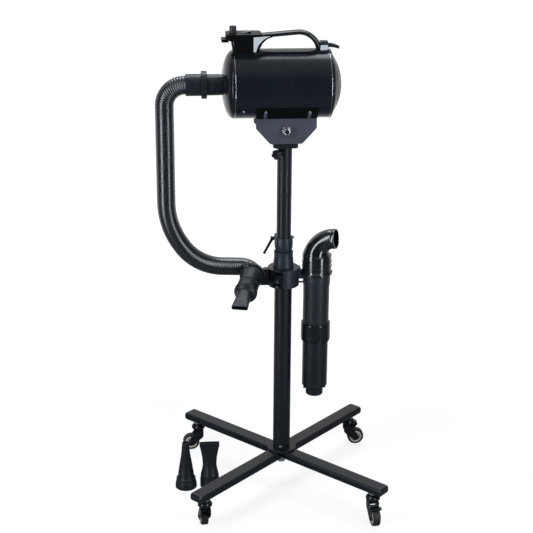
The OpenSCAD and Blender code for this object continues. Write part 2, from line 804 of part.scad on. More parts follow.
module clip_half() {
    arm_x0 = clip_pos.x + 17;
    arm_x1 = -clamp_r * 0.76;
    color(gloss) difference() {
        union() {
            clamp_half_ring(90 + seam_turn);
            translate([arm_x0, -12, clamp_z + 3]) cube([arm_x1 - arm_x0, 18, clamp_h - 5]);
            at_clip() {
                rotate([0, 0, clip_open_at + clip_gap]) rotate_extrude(angle = 360 - clip_gap)
                    translate([clip_r - 1, -clip_w]) square([clip_t + 1, clip_w]);
                rotate([0, 0, clip_open_at]) translate([clip_r - 1, -2.2, -clip_w]) cube([13, 2.2, clip_w]);
            }
        }
        at_clip() translate([0, 0, -60]) cylinder(r = clip_r, h = 120);
        rotate([0, 0, seam_turn]) for (z = clamp_screw_z, y = [-1, 1])
            translate([-5 - pocket_l, y < 0 ? -clamp_r - cut : clamp_screw_y - 4, z - pocket_h / 2])
                cube([pocket_l, clamp_r + cut - clamp_screw_y + 4, pocket_h]);
        seam_cuts();
    }
}

module tube_half() {
    bore = tube_r + slide_fit;
    color(gloss) difference() {
        union() {
            clamp_half_ring(-90 + seam_turn);
            translate([tube_x, 0, holder_z]) rotate_extrude() polygon([[bore - 0.5, 0], [holder_r - 0.6, 0],
                [holder_r, holder_h * 0.4], [holder_r, holder_h - 4], [holder_r + 0.8, holder_h - 3],
                [holder_r + 0.8, holder_h], [bore - 0.5, holder_h]]);
            translate([clamp_r - 5, -14, holder_top - 10]) cube([tube_x - bore - clamp_r + 6, 28, 10]);
            translate([clamp_r - 5, -12, holder_top - 10]) cube([8.5, 24, clamp_top - 2 - holder_top + 10]);
            translate([clamp_r - 14, -24, holder_z + 13]) cube([tube_x - clamp_r + 14 - bore * 0.7, 5, 3]);
        }
        translate([tube_x, 0, holder_z - cut]) cylinder(r = bore, h = holder_h + 2 * cut);
        translate([0, 0, clamp_z - cut]) cylinder(r = lower_r + seat_gap, h = clamp_h + 2 * cut);
        seam_cuts();
    }
}

module clamp_screws() {
    color(zinc) rotate([0, 0, seam_turn]) for (z = clamp_screw_z, y = [-clamp_screw_y, clamp_screw_y])
        translate([0, y, z]) rotate([0, 90, 0]) {
            translate([0, 0, -7.9]) cylinder(r = pocket_h / 2 - 0.3, h = 2.8);
            translate([0, 0, -6]) cylinder(r = clamp_screw_r, h = 19);
        }
}

// Rigid end of the hose, held in the clip
module hose_end_cuff() {
    tip = coupler_d / 2;
    bore = hose_d / 2 + hose_fit;
    color(slate) at_clip() rotate_extrude() polygon([[bore + 2.6, end_back], [hose_end_r, end_back],
        [hose_end_r, 3], [hose_end_r + 1, 3.5], [hose_end_r + 1, 6], [hose_end_r - 0.5, 8],
        [tip, end_cone], [tip + 1, end_cone + 2], [tip + 1, end_cone + 5], [tip - 1, end_cone + 6],
        [tip - 1, end_cone + 9], [tip + 0.5, end_cone + 10], [tip + 0.5, end_front],
        [spout_r, end_front], [spout_r, end_front + 20], [spout_bore, end_front + 20],
        [spout_bore, end_stop], [bore, end_stop], [bore, end_back + 9]]);
}

// --- Head ---

module head_fork() {
    spigot_r = upper_bore - run_fit;
    inner_y = fork_y - fork_plate_t;
    top_r = 16;
    bevel = 6;
    h = fork_y;
    foot_z = plate_z + plate_t - 0.5;
    plan = [[bevel - h, -h], [h - bevel, -h], [h, bevel - h], [h, h - bevel],
        [h - bevel, h], [bevel - h, h], [-h, h - bevel], [-h, bevel - h]];
    color(black) difference() {
        union() {
            translate([0, 0, plate_z]) linear_extrude(plate_t) polygon(plan);
            translate([0, 0, plate_z - spigot_l]) cylinder(r = spigot_r, h = spigot_l + 1);
            for (y = [-inner_y, fork_y])
                translate([0, y, 0]) rotate([90, 0, 0]) linear_extrude(fork_plate_t)
                    polygon(concat([[-h + bevel, foot_z], [h - bevel, foot_z]],
                        arc([0, pivot_z], top_r, 0, 180)));
        }
        facing(0, fork_y + cut, pivot_z) cylinder(r = pivot_r + seat_gap, h = 2 * (fork_y + cut));
        translate([0, 0, plate_z - spigot_l - cut]) cylinder(r = spigot_r - 3, h = spigot_l - 4);
    }
}

// Tilt pivot: bolt, washers and nut outside the yoke, spacer between the fork plates
module pivot_bolt() {
    face_y = yoke_y + yoke_t + body_gap;
    washer_t = 2.5;
    nut_h = 10;
    spacer_l = 2 * (fork_y - fork_plate_t - seat_gap);
    color(zinc) {
        facing(0, face_y + washer_t + 1, pivot_z)
            cylinder(r = pivot_r, h = 2 * (face_y + washer_t) + nut_h + 3);
        facing(0, -face_y, pivot_z) cylinder(r = pivot_d, h = washer_t);
        facing(0, face_y + washer_t, pivot_z) cylinder(r = pivot_d, h = washer_t);
        facing(0, -face_y - washer_t + 0.1, pivot_z) hex(pivot_d + 7, nut_h);
        facing(0, face_y + washer_t + 7.5, pivot_z) hex(pivot_d + 6, 7.6);
        facing(0, spacer_l / 2, pivot_z) tube(pivot_r + 3, pivot_r + seat_gap, spacer_l);
    }
}

// Star knob on its screw, radial to the mast
module pan_knob() {
    lobes = 5;
    color(gloss) rotate([0, 0, knob_angle]) translate([0, 0, knob_z]) rotate([0, 90, 0]) {
        translate([0, 0, upper_bore + body_gap])
            cylinder(r = knob_screw_r, h = knob_boss_r + 8 - upper_bore);
        translate([0, 0, knob_boss_r + body_gap]) cylinder(r = 6.5, h = 5);
        translate([0, 0, knob_boss_r + 5]) difference() {
            cylinder(d = pan_knob_d, h = 12);
            for (i = [0 : lobes - 1]) rotate([0, 0, 360 * (i + 0.5) / lobes])
                translate([pan_knob_d / 2 + 2.5, 0, -cut]) cylinder(r = 5, h = 12 + 2 * cut);
        }
    }
}

// --- Bracket ---

// Places the slots of the saddle; local z points out of the shell, local y runs round it
module at_slots() {
    for (x = [-slot_x, slot_x], side = [-1, 1])
        translate([x, 0, axis_z]) rotate([180 + side * slot_tilt, 0, 0]) children();
}

module saddle() {
    color(gloss) difference() {
        at_axis(-yoke_w / 2) rotate([0, 0, -saddle_arc / 2])
            rotate_extrude(angle = saddle_arc, $fn = 96) translate([saddle_r, 0]) square([yoke_t, yoke_w]);
        at_slots() translate([0, 0, saddle_r - cut]) oblong(slot_w, slot_l, yoke_t + 2 * cut);
    }
}

module saddle_bolts() {
    color(zinc) at_slots() translate([0, 0, saddle_r + 0.2])
        oblong(slot_w - 0.4, slot_l - 1, yoke_t + 0.8);
}

module yoke_plates() {
    foot_z = plate_z + plate_t;
    edge_z = pivot_z + yoke_corner_up;
    half = yoke_w / 2;
    foot = yoke_foot_w / 2;
    color(slate) for (y = [-yoke_y, yoke_y + yoke_t]) difference() {
        translate([0, y, 0]) rotate([90, 0, 0]) linear_extrude(yoke_t) polygon([[2 - foot, foot_z],
            [foot - 2, foot_z], [foot + 2, foot_z + 2.5], [half - 1, edge_z - 3], [half, edge_z],
            [half, axis_z - saddle_r + 20], [-half, axis_z - saddle_r + 20], [-half, edge_z],
            [1 - half, edge_z - 3], [-foot - 2, foot_z + 2.5]]);
        facing(0, y + cut, pivot_z) cylinder(r = pivot_r + run_fit, h = yoke_t + 2 * cut);
        at_axis(-yoke_w) cylinder(r = saddle_r + yoke_t + seat_gap, h = 2 * yoke_w, $fn = 96);
    }
}

// --- Dryer ---

module housing_shell() {
    edge = shell_wall * 0.6;
    color(gloss) at_axis(shell_x0) rotate_extrude($fn = 96) polygon([
        [shell_bore, 0], [shell_r - edge, 0], [shell_r, edge],
        [shell_r, shell_len - edge], [shell_r - edge, shell_len], [shell_bore, shell_len]]);
}

// Depth of the cowl's dome at radius r, for a dome of radius rim and depth tip
function dome(r, rim, tip) = tip * sqrt(1 - pow(r / rim, 2));

module front_cowl() {
    hole = coupler_d / 2 + seat_gap;
    steps = 16;
    inner_rim = shell_r - cowl_wall;
    inner_tip = cowl_depth - cowl_wall;
    lip_r = shell_bore - seat_gap;
    function at(i, rim) = hole + (rim - hole) * sin(90 * i / steps);
    color(gloss) at_axis(shell_x0 - seat_gap) rotate_extrude($fn = 96) polygon(concat(
        [for (i = [0 : steps]) let (r = at(i, shell_r)) [r, -dome(r, shell_r, cowl_depth)]],
        [[lip_r, 0], [lip_r, 8], [lip_r - lip_t, 8]],
        [for (i = [steps - 1 : -1 : 0])
            let (r = at(i, lip_r - lip_t)) [r, -dome(r, inner_rim, inner_tip)]]));
}

module outlet_spigot() {
    collar_r = coupler_d / 2;
    inside_x = shell_x0 - dome(30, shell_r - cowl_wall, cowl_depth - cowl_wall);
    color(gloss) at_axis() rotate_extrude() polygon([[spout_bore, outlet_x - spout_l],
        [spout_r, outlet_x - spout_l], [spout_r, outlet_x], [collar_r, outlet_x],
        [collar_r, outlet_x + 1.2], [collar_r - 1, outlet_x + 1.3], [collar_r - 1, outlet_x + 2.4],
        [collar_r, outlet_x + 2.5], [collar_r, inside_x + 0.3], [30, inside_x + 0.3],
        [30, inside_x + 2.5], [spout_bore, inside_x + 2.5]]);
}

module rear_ring() {
    lip_r = shell_bore - seat_gap;
    color(gloss) at_axis(shell_x1 + seat_gap) rotate_extrude($fn = 96) polygon([[grille_r, 0],
        [lip_r - lip_t, 0], [lip_r - lip_t, -8], [lip_r, -8], [lip_r, 0], [shell_r - 0.9, 0],
        [shell_r, 0.9], [shell_r, 2.5], [shell_r - 1.5, 4.4], [grille_r, 4.4]]);
}

// Domed guard, perforated in a honeycomb inside a plain rim
module grille() {
    base = grille_r + 4;
    ball = (base * base + grille_depth * grille_depth) / (2 * grille_depth);
    field = grille_r - grille_rim;
    rows = ceil(field / grille_pitch * 1.16);
    cols = ceil(field / grille_pitch);
    color(gloss) at_axis(grille_x) difference() {
        rotate_extrude($fn = 96) intersection() {
            translate([0, grille_depth - ball]) difference() {
                circle(ball, $fn = 256);
                circle(ball - grille_wall, $fn = 256);
            }
            square([base - 3, grille_depth + 1]);
        }
        for (i = [-rows : rows], j = [-cols : cols])
            let (x = grille_pitch * (j + abs(i % 2) / 2), y = grille_pitch * i * sqrt(0.75))
                if (norm([x, y]) < field) translate([x, y, 0]) rotate([0, 0, 30])
                    cylinder(d = grille_hole, h = grille_depth + 1, $fn = 6);
    }
}

module filter_pad() {
    color(foam) at_axis(filter_x) cylinder(r = shell_bore - seat_gap - lip_t - 0.3, h = filter_t);
}

module motor() {
    r = motor_d / 2;
    color(slate) at_axis(motor_x) difference() {
        rotate_extrude() polygon([[0, 0], [r - 6, 0], [r, 6], [r, motor_len - 6], [r - 6, motor_len],
            [0, motor_len]]);
        translate([0, 0, motor_len + motor_gap - shaft_l - 4])
            cylinder(r = shaft_r + run_fit, h = shaft_l - motor_gap + 4 + cut);
    }
}

// Rubber rings that carry the motor and let the air past
module motor_mounts() {
    mid_r = (motor_d / 2 + shell_bore) / 2;
    color(black) for (x = [motor_x + 10, motor_x + motor_len - 20]) at_axis(x) difference() {
        tube(shell_bore - seat_gap, motor_d / 2 + seat_gap, 10);
        for (a = [0 : 45 : 359]) rotate([0, 0, a]) translate([mid_r, 0, -cut])
            cylinder(d = (shell_bore - motor_d / 2) * 0.62, h = 10 + 2 * cut);
    }
}

// Backward-curved centrifugal wheel on the motor shaft
module impeller() {
    r = impeller_d / 2;
    centre = [r * 0.62, 0]; // of a blade's arc
    color(zinc) at_axis(impeller_x) difference() {
        union() {
            cylinder(r = r, h = 1.5);
            translate([0, 0, impeller_w - 1.5]) tube(r, r * 0.5, 1.5);
            cylinder(r = 10, h = impeller_w);
            translate([0, 0, -shaft_l]) cylinder(r = shaft_r, h = shaft_l + 4);
            for (a = [0 : 40 : 359]) rotate([0, 0, a]) translate([0, 0, 0.5]) linear_extrude(impeller_w - 1)
                polygon(concat(arc(centre, r * 0.4, 0, 130, 8), arc(centre, r * 0.4 - 1.5, 130, 0, 8)));
        }
        translate([0, 0, 5]) cylinder(r = 2.5, h = impeller_w);
    }
}

// Cuts what would reach into a cylinder of radius r round the dryer's axis
module seated(r) difference() {
    children();
    at_axis(-2 * shell_len) cylinder(r = r, h = 4 * shell_len, $fn = 96);
}

// Pad that follows the shell under the handle, wider under the controls
module pad(front_half, rear_half) {
    x0 = shell_x0 - 2;
    x1 = neck_x1 + 8;
    x2 = neck_x1 + 22;
    intersection() {
        at_axis(x0) cylinder(r = saddle_r + pad_t, h = pad_x1 - x0, $fn = 96);
        translate([0, 0, axis_z]) linear_extrude(shell_r + 2 * pad_t) polygon([[x0, -front_half],
            [x1, -front_half], [x2, -rear_half], [pad_x1 - 8, -rear_half], [pad_x1, 8 - rear_half],
            [pad_x1, rear_half - 8], [pad_x1 - 8, rear_half], [x2, rear_half], [x1, front_half],
            [x0, front_half]]);
    }
}

// Arched handle: pad on the shell, web at the front, oval grip bent down at the rear
module handle() {
    front_x = panel_x1 + seat_gap;
    front_z = top_z + grip_up;
    rear_top = grip_bend_at.y + grip_bend_r;
    path = concat([[front_x, front_z], [front_x + 26, front_z + 2]],
        [for (i = [0 : 12]) grip_bend_at + grip_bend_r * [sin(90 * i / 12), cos(90 * i / 12)]]);
    dirs = [for (i = [0 : len(path) - 1]) i == 0 ? [1, 0] : i == len(path) - 1 ? [0, -1]
        : unit(path[i + 1] - path[i - 1])];
    last = len(path) - 1;
    rings = [for (i = [0 : last])
        let (p = path[i], d = dirs[i], t = grip_t + (grip_foot_t - grip_t) * pow(i / last, 2))
        ring([p.x, 0, p.y], t / 2 * [-d.y, 0, d.x], [0, -grip_w / 2, 0], 20)];
    web_top = front_z - 1.4;
    color(gloss) seated(saddle_r) union() {
        pad(panel_w / 2 - 1, grip_w / 2 + 9);
        skin(rings);
        side_profile([[neck_x1 + 1, axis_z], [neck_x1 + 15, axis_z], [neck_x1 + 15, top_z + 3],
            [neck_x1 + 18, top_z + 10], [neck_x1 + 24, top_z + 20], [neck_x1 + 34, top_z + 29],
            [neck_x1 + 46, web_top - 1], [neck_x1 + 46, web_top], [neck_x1 + 1, web_top]], grip_w);
    }
}

// Housing of the controls, over the front of the handle's pad
module control_box() {
    half = panel_w / 2;
    bevel = 8;
    seat_r = saddle_r + pad_t + seat_gap;
    under = top_z + 37;
    neck = [[neck_x0, under], [neck_x0, top_z + 18], [neck_x0 + 8, axis_z + 60], [neck_x1, axis_z + 60],
        [neck_x1, under]];
    head = [[panel_x0, top_z + 28.5], [panel_x0 + 15, top_z + 26.5], [neck_x1, under],
        [panel_x1, under + 1], [panel_x1, panel_z - 1.5], [panel_x1 - 1.5, panel_z],
        [panel_x0 + 1.5, panel_z], [panel_x0, panel_z - 1.5]];
    color(gloss) difference() {
        union() {
            seated(seat_r) side_profile(neck, panel_w - 4);
            intersection() {
                side_profile(head, panel_w);
                translate([0, 0, top_z]) linear_extrude(panel_up + 10) polygon([
                    [panel_x0, bevel - half], [panel_x0 + bevel, -half],
                    [panel_x1 - bevel, -half], [panel_x1, bevel - half],
                    [panel_x1, half - bevel], [panel_x1 - bevel, half], [panel_x0 + bevel, half],
                    [panel_x0, half - bevel]]);
            }
            translate([panel_x0 - 10, -half + 12, top_z + 22.5]) cube([16, panel_w - 24, 7]);
        }
        translate([knob_x, 0, panel_z - 10]) cylinder(r = 3 + run_fit, h = 10 + cut);
        translate([rocker_x - rocker_l / 2 - 1, -rocker_w / 2 - 0.5, panel_z - 9])
            cube([rocker_l + 2, rocker_w + 1, 9 + cut]);
        facing(rocker_x, rocker_w / 2 + 3, rocker_pin_z)
            cylinder(r = rocker_pin_r + run_fit, h = rocker_w + 6);
    }
}

module speed_knob() {
    flutes = 14;
    r = speed_knob_d / 2;
    color(gloss) translate([knob_x, 0, panel_z]) {
        translate([0, 0, -9]) cylinder(r = 3, h = 12);
        difference() {
            translate([0, 0, body_gap]) rotate_extrude() polygon([
                [0, 0], [r + 1, 0], [r + 1, 1.5], [r, 2.5],
                [r - 0.4, speed_knob_h - 1], [r - 1.4, speed_knob_h], [0, speed_knob_h]]);
            for (i = [0 : flutes - 1]) rotate([0, 0, 360 * i / flutes]) translate([r + 0.4, 0, 4])
                cylinder(r = 0.9, h = speed_knob_h);
        }
    }
}

// Rocker that rests with its front end down
module power_rocker() {
    half = rocker_l / 2;
    rise = half * tan(rocker_tilt);
    color(gloss) translate([rocker_x, 0, rocker_pin_z]) rotate([0, -rocker_tilt, 0]) {
        side_profile([[-half, 1], [-half + 3, -3], [half - 3, -3], [half, 1], [half, 4 + rise], [0, 4.5],
            [-half, 4 + rise]], rocker_w);
        facing(0, rocker_w / 2 + 2.7, 0) cylinder(r = rocker_pin_r, h = rocker_w + 5.4);
    }
}

// Mains inlet block at the rear of the pad
module gland_block() {
    seat_r = saddle_r + pad_t + seat_gap;
    color(slate) difference() {
        seated(seat_r) {
            translate([gland_x0, -12, axis_z + 70]) cube([gland_x1 - gland_x0, 24, shell_r - 70 + 16]);
            translate([gland_x0 + 1, -9, top_z + 15]) cube([gland_x1 - gland_x0 - 2, 18, 6.6]);
        }
        facing(grip_bend_at.x, 20, grip_bend_at.y)
            cylinder(r = grip_bend_r + grip_foot_t / 2 + seat_gap, h = 40);
    }
}

// Ribbed boot of the mains lead, drooping from the gland block
module strain_relief() {
    start = [gland_x1 + seat_gap, 0, top_z + 11.5];
    droop_r = 60;
    turns = 26;
    ribs = 7;
    sides = 16;
    rings = [for (i = [0 : 2 * ribs])
        let (a = turns * i / (2 * ribs), r = 6 - 2 * i / (2 * ribs) - 0.8 * (i % 2))
        ring(start + droop_r * [sin(a), 0, cos(a) - 1], r * [sin(a), 0, cos(a)], [0, -r, 0], sides)];
    color(gloss) skin(rings);
}

// --- Air path ---

module hose_coupler() {
    coupler_r = coupler_d / 2;
    socket = spout_r + seat_gap;
    hose_bore = hose_d / 2 + hose_fit;
    stop = cuff_x0 + hose_grip;
    color(slate) at_axis() rotate_extrude() polygon([[socket, coupler_x1], [coupler_r, coupler_x1],
        [coupler_r, coupler_x0], [swivel_d / 2 - 1, coupler_x0], [swivel_d / 2, coupler_x0 - 1],
        [swivel_d / 2, swivel_x0 + 1], [swivel_d / 2 - 1, swivel_x0], [cuff_d / 2, swivel_x0],
        [cuff_d / 2, cuff_x0 + 1], [cuff_d / 2 - 1, cuff_x0], [hose_bore, cuff_x0], [hose_bore, stop],
        [spout_bore, stop], [spout_bore, outlet_x - spout_l - 1], [socket, outlet_x - spout_l - 1]]);
}

// Way in, way out and angle of a bend at corner k of the route
function way(k) = unit(hose_route[k + 1] - hose_route[k]);
function turn(k) = acos(way(k - 1) * way(k));
function tangent(k) = hose_bends[k - 1] * tan(turn(k) / 2);

// Pieces of the route, each [length, start, way, radius, way to the bend's centre]; radius 0 is a straight
hose_corners = len(hose_bends);
hose_pieces = [for (k = [0 : hose_corners]) each [
    let (t0 = k == 0 ? 0 : tangent(k), t1 = k == hose_corners ? 0 : tangent(k + 1))
        [norm(hose_route[k + 1] - hose_route[k]) - t0 - t1, hose_route[k] + t0 * way(k), way(k), 0,
            [0, 0, 0]],
    if (k < hose_corners) let (c = k + 1, w = way(k), next = way(c))
        [hose_bends[k] * turn(c) * PI / 180, hose_route[c] - tangent(c) * w, w, hose_bends[k],
            unit(next - (next * w) * w)]]];
hose_count = len(hose_pieces);
hose_starts = [for (i = 0, s = 0; i <= hose_count;
    s = s + (i < hose_count ? hose_pieces[i][0] : 0), i = i + 1) s];
hose_len = hose_starts[hose_count];

// Point and way at the length s along the hose
function hose_piece(s) = max([0, for (i = [0 : hose_count - 1]) if (hose_starts[i] <= s) i]);
function hose_at(s) = let (i = hose_piece(s), p = hose_pieces[i], u = s - hose_starts[i], r = p[3],
        a = r > 0 ? u / r * 180 / PI : 0)
    r > 0 ? [p[1] + r * sin(a) * p[2] + r * (1 - cos(a)) * p[4], cos(a) * p[2] + sin(a) * p[4]]
        : [p[1] + u * p[2], p[2]];

// Hose with one rib per pitch, each rib a crest ring and a root ring
module air_hose() {
    ribs = floor(hose_len / hose_pitch);
    stops = [for (i = [0 : 2 * ribs]) hose_at(hose_len * i / (2 * ribs))];
    sides = [for (i = 0, u = [0, 1, 0]; i <= 2 * ribs;
        i = i + 1, u = i <= 2 * ribs ? unit(u - (u * stops[i][1]) * stops[i][1]) : u) u];
    function section(i, r) = ring(stops[i][0], r * sides[i], r * cross(stops[i][1], sides[i]), hose_sides);
    root = hose_d / 2 - rib_depth;
    bore = root * cos(180 / hose_sides) - hose_wall;
    step = 2 * hose_bore_step;
    color(black) skin_tube([for (i = [0 : 2 * ribs]) section(i, i % 2 == 0 ? hose_d / 2 : root)],
        [for (i = [0 : ceil(2 * ribs / step)]) section(min(i * step, 2 * ribs), bore)]);
}

// --- Hand tube ---

module wide_tube() {
    color(gloss) translate([tube_x, 0, joint_z + seat_gap])
        tube(tube_r, tube_r - tube_wall, tube_top - joint_z - seat_gap);
}

module coupling_ring() {
    r = coupling_r;
    color(gloss) translate([tube_x, 0, 0]) rotate_extrude() polygon([[drop_r + seat_gap, coupling_z],
        [r - 1, coupling_z], [r - 1, coupling_z + 2], [r - 2, coupling_z + 2.5], [r - 2, coupling_z + 4],
        [r, coupling_z + 5], [r, coupling_top - 4], [r - 1, coupling_top - 1.5],
        [r - 3, coupling_top], [tube_r + seat_gap, coupling_top],
        [tube_r + seat_gap, joint_z + seat_gap], [drop_r + seat_gap, joint_z]]);
}

module lower_tube() {
    bore = drop_r - tube_wall;
    color(gloss) translate([tube_x, 0, 0]) difference() {
        union() {
            rotate_extrude() polygon([
                [spout_bore, spout_z], [spout_r - 1.5, spout_z], [spout_r, spout_z + 2],
                [spout_r, shoulder_z], [drop_r - 2, shoulder_z], [drop_r, shoulder_z + 3],
                [drop_r, joint_z],
                [bore, joint_z], [bore, shoulder_z + 4], [spout_bore, shoulder_z + 2.5]]);
            translate([-spout_pin_span / 2, 0, spout_pin_z]) rotate([0, 90, 0])
                cylinder(r = 3, h = spout_pin_span);
        }
        translate([0, 0, spout_z - cut]) cylinder(r = spout_bore, h = spout_l + 2);
    }
}

// Swivelling elbow that narrows to its mouth
module elbow() {
    bore = tube_r + run_fit;
    r = elbow_r;
    rf = r + elbow_flange_w;
    skirt = [[bore, 0], [rf, 0], [rf, 6], [r + 0.5, 9.5], [r, 10], [r, 19], [r + 1.2, 19.6],
        [r + 1.2, 21.4], [r, 22], [r, 30], [r + 1.2, 30.6], [r + 1.2, 32.4], [r, 33], [r, skirt_h],
        [bore, skirt_h]];
    steps = 12;
    sides = 32;
    mouth_r = mouth_d / 2;
    function mid(a) = [bend_r * (1 - cos(a)), 0, bend_r * sin(a)];
    function section(a, out) = ring(mid(a), out * [cos(a), 0, -sin(a)], [0, out, 0], sides);
    function size(i, from, to) = from + (to - from) * (1 - pow(1 - i / steps, 3));
    foot = [0, 0, -0.6];
    end_at = mid(bend_angle);
    color(gloss) translate([tube_x, 0, elbow_z]) rotate([0, 0, elbow_turn]) {
        rotate_extrude() polygon(skirt);
        translate([0, 0, skirt_h]) {
            skin_tube(
                concat([ring(foot, [r - 0.2, 0, 0], [0, r - 0.2, 0], sides)],
                    [for (i = [0 : steps]) section(bend_angle * i / steps, size(i, r - 0.2, mouth_r))]),
                concat([ring(foot, [bore + 0.5, 0, 0], [0, bore + 0.5, 0], sides)], [for (i = [0 : steps])
                    section(bend_angle * i / steps, size(i, bore + 0.5, spout_r + 1))]));
            translate(end_at) rotate([0, bend_angle, 0]) translate([0, 0, -0.6])
                tube(mouth_r + 0.4, spout_r + 0.5, mouth_l + 0.6);
        }
    }
}

// --- Nozzles ---

// Nozzle with a round socket below and a lofted mouth above. Each station is
// [height, half width, half depth, power of the outline, wall].
module lofted_nozzle(foot_profile, stations) {
    rotate_extrude() polygon(foot_profile);
    skin_tube([for (s = stations) oval(s[1], s[2], s[3], s[0])],
        [for (s = stations) oval(s[1] - s[4], s[2] - s[4], s[3], s[0])]);
}

socket_r = spout_r + slide_fit;
socket_l = 20.7;

module fitted_nozzle() {
    r0 = coupler_d / 2;
    r1 = r0 + 3.5;
    w = nozzle_w / 2;
    k = (nozzle_l - 32) / 93;
    color(gloss) at_clip() translate([0, 0, end_front + body_gap]) lofted_nozzle(
        [[socket_r, 0], [r0, 0], [r0, 13], [r1, 16.5], [r1, 21], [socket_r, 21]],
        [[20.4, r1 - 0.2, r1 - 0.2, 2, r1 - 0.7 - socket_r], [24, r1 - 0.9, r1 - 0.9, 2, 5],
         [28, r1 - 3.5, r1 - 4.5, 2, 3], [32, 20.5, 18.5, 2.1, 2], [32 + 5 * k, 18, 15.5, 2.3, 1.8],
         [32 + 23 * k, 17.6, 13, 2.8, 1.8], [32 + 48 * k, w - 1.5, 10, 3.5, 1.8],
         [32 + 73 * k, w - 0.5, 7, 5, 1.8], [nozzle_l, w, 5.2, 8, 1.8]]);
}

module spare_flat_nozzle() {
    r0 = coupler_d / 2;
    w = spare_w / 2;
    k = (spare_h - 35) / 90;
    color(gloss) translate(spare_pos) lofted_nozzle(
        [[socket_r, 0], [r0, 0], [r0, 21], [socket_r, 21]],
        [[20.4, r0 - 0.2, r0 - 0.2, 2, r0 - 0.7 - socket_r], [35, r0 - 1.5, r0 - 1.5, 2, 2],
         [35 + 15 * k, 20, 19, 2, 1.8], [35 + 27 * k, 18, 15, 2.3, 1.8],
         [35 + 50 * k, w - 6.5, 10.5, 3, 1.8], [35 + 74 * k, w - 2, 7.5, 4.5, 1.8],
         [35 + 82 * k, w, 6.5, 6, 1.8], [spare_h, w, 6.5, 6, 1.8]]);
}

module cone_nozzle() {
    r = cone_d / 2;
    tip = cone_mouth_d / 2;
    wall = 1.8;
    waist = cone_h * 0.484;
    waist_r = tip + 0.69 * (r - 3.6 - tip);
    color(gloss) translate(cone_pos) rotate_extrude() polygon([[socket_r, 0], [r, 0], [r, 5],
        [r - 1, 14], [r - 3, 16], [r - 3.6, 30], [waist_r, waist], [tip, cone_h], [tip - wall, cone_h],
        [waist_r - wall, waist], [socket_r - 1, 30], [socket_r - 1, socket_l], [socket_r, socket_l]]);
}

long_bar();
short_bars();
bar_end_caps();
hub_flange();
centre_bolt();
lower_mast();
base_screws();
clamp_sleeve();
ball_collar();
lever_bolt();
clip_half();
tube_half();
clamp_screws();
hose_end_cuff();
caster_stems();
air_hose();
upper_mast();
glide_bush();
lock_lever();
head_fork();
pivot_bolt();
pan_knob();
saddle();
yoke_plates();
saddle_bolts();
housing_shell();
front_cowl();
outlet_spigot();
rear_ring();
grille();
filter_pad();
motor();
motor_mounts();
handle();
control_box();
gland_block();
strain_relief();
hose_coupler();
impeller();
speed_knob();
power_rocker();
wide_tube();
coupling_ring();
lower_tube();
elbow();
fitted_nozzle();
cone_nozzle();
spare_flat_nozzle();
caster_fork(corner_fr);  // fork_fr
caster_fork(corner_rr);  // fork_rr
caster_fork(corner_rl);  // fork_rl
caster_fork(corner_fl);  // fork_fl
caster_wheel(corner_fr);  // wheel_fr
caster_wheel(corner_rr);  // wheel_rr
caster_wheel(corner_rl);  // wheel_rl
caster_wheel(corner_fl);  // wheel_fl
brake_pedal(corner_fr, 0);  // pedal_fr
brake_pedal(corner_rr, pedal_raised);  // pedal_rr
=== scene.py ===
"""Looks of the pet dryer on its wheeled stand: materials, detailed pieces, floor, light and camera.

Everything is in metres, in the CAD frame: the mast axis is +Z, the floor is z = 0, and the dryer's air path
runs along X.
"""

import math

import bmesh
import bpy
from mathutils import Matrix, Vector


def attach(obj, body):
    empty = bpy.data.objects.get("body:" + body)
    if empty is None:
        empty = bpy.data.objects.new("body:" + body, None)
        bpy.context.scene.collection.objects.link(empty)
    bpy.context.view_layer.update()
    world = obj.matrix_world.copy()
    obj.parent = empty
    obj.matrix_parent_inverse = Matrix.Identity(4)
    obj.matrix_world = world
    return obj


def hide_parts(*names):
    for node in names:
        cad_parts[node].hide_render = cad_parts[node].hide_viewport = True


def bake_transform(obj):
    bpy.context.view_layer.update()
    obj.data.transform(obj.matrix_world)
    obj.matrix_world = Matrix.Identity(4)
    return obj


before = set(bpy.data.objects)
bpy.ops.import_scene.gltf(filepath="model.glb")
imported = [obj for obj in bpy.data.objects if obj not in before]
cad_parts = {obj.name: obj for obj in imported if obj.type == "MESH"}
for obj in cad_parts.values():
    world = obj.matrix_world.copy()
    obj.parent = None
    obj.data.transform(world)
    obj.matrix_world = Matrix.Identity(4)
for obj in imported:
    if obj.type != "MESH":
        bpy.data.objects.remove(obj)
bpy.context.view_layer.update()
scene = bpy.context.scene

# ---------------------------------------------------------------- camera

CAMERA_AT = (-0.318, -3.043, 1.729)
CAMERA_TURN = 5.18  # degrees from +Y toward +X
CAMERA_DOWN = 20.13
CAMERA_ROLL = 0.4
CAMERA_LENS = 88.53  # mm on a 36 mm sensor
CAMERA_RANGE = (0.05, 60)


def make_camera():
    data = bpy.data.cameras.new("camera")
    data.lens = CAMERA_LENS
    data.clip_start, data.clip_end = CAMERA_RANGE
    camera = bpy.data.objects.new("camera", data)
    scene.collection.objects.link(camera)
    camera.matrix_world = (
        Matrix.Translation(CAMERA_AT)
        @ Matrix.Rotation(math.radians(-CAMERA_TURN), 4, "Z")
        @ Matrix.Rotation(math.radians(90 - CAMERA_DOWN), 4, "X")
        @ Matrix.Rotation(math.radians(CAMERA_ROLL), 4, "Z")
    )
    scene.camera = camera


# ---------------------------------------------------------------- materials

# Sockets of the Mix node that carry colours: factor and two inputs, and the result
MIX_INPUTS = (0, 6, 7)
MIX_RESULT = 2

# Noise scales, in cells per metre, and how far tone and roughness stray to each side
CLOUD_SCALE = 14.0
GLOSS_SCALE = 45.0
PATCH_SCALE = 70.0
TONE_VARY = 0.2
GLOSS_VARY = 0.06
COAT_ROUGH = 0.08

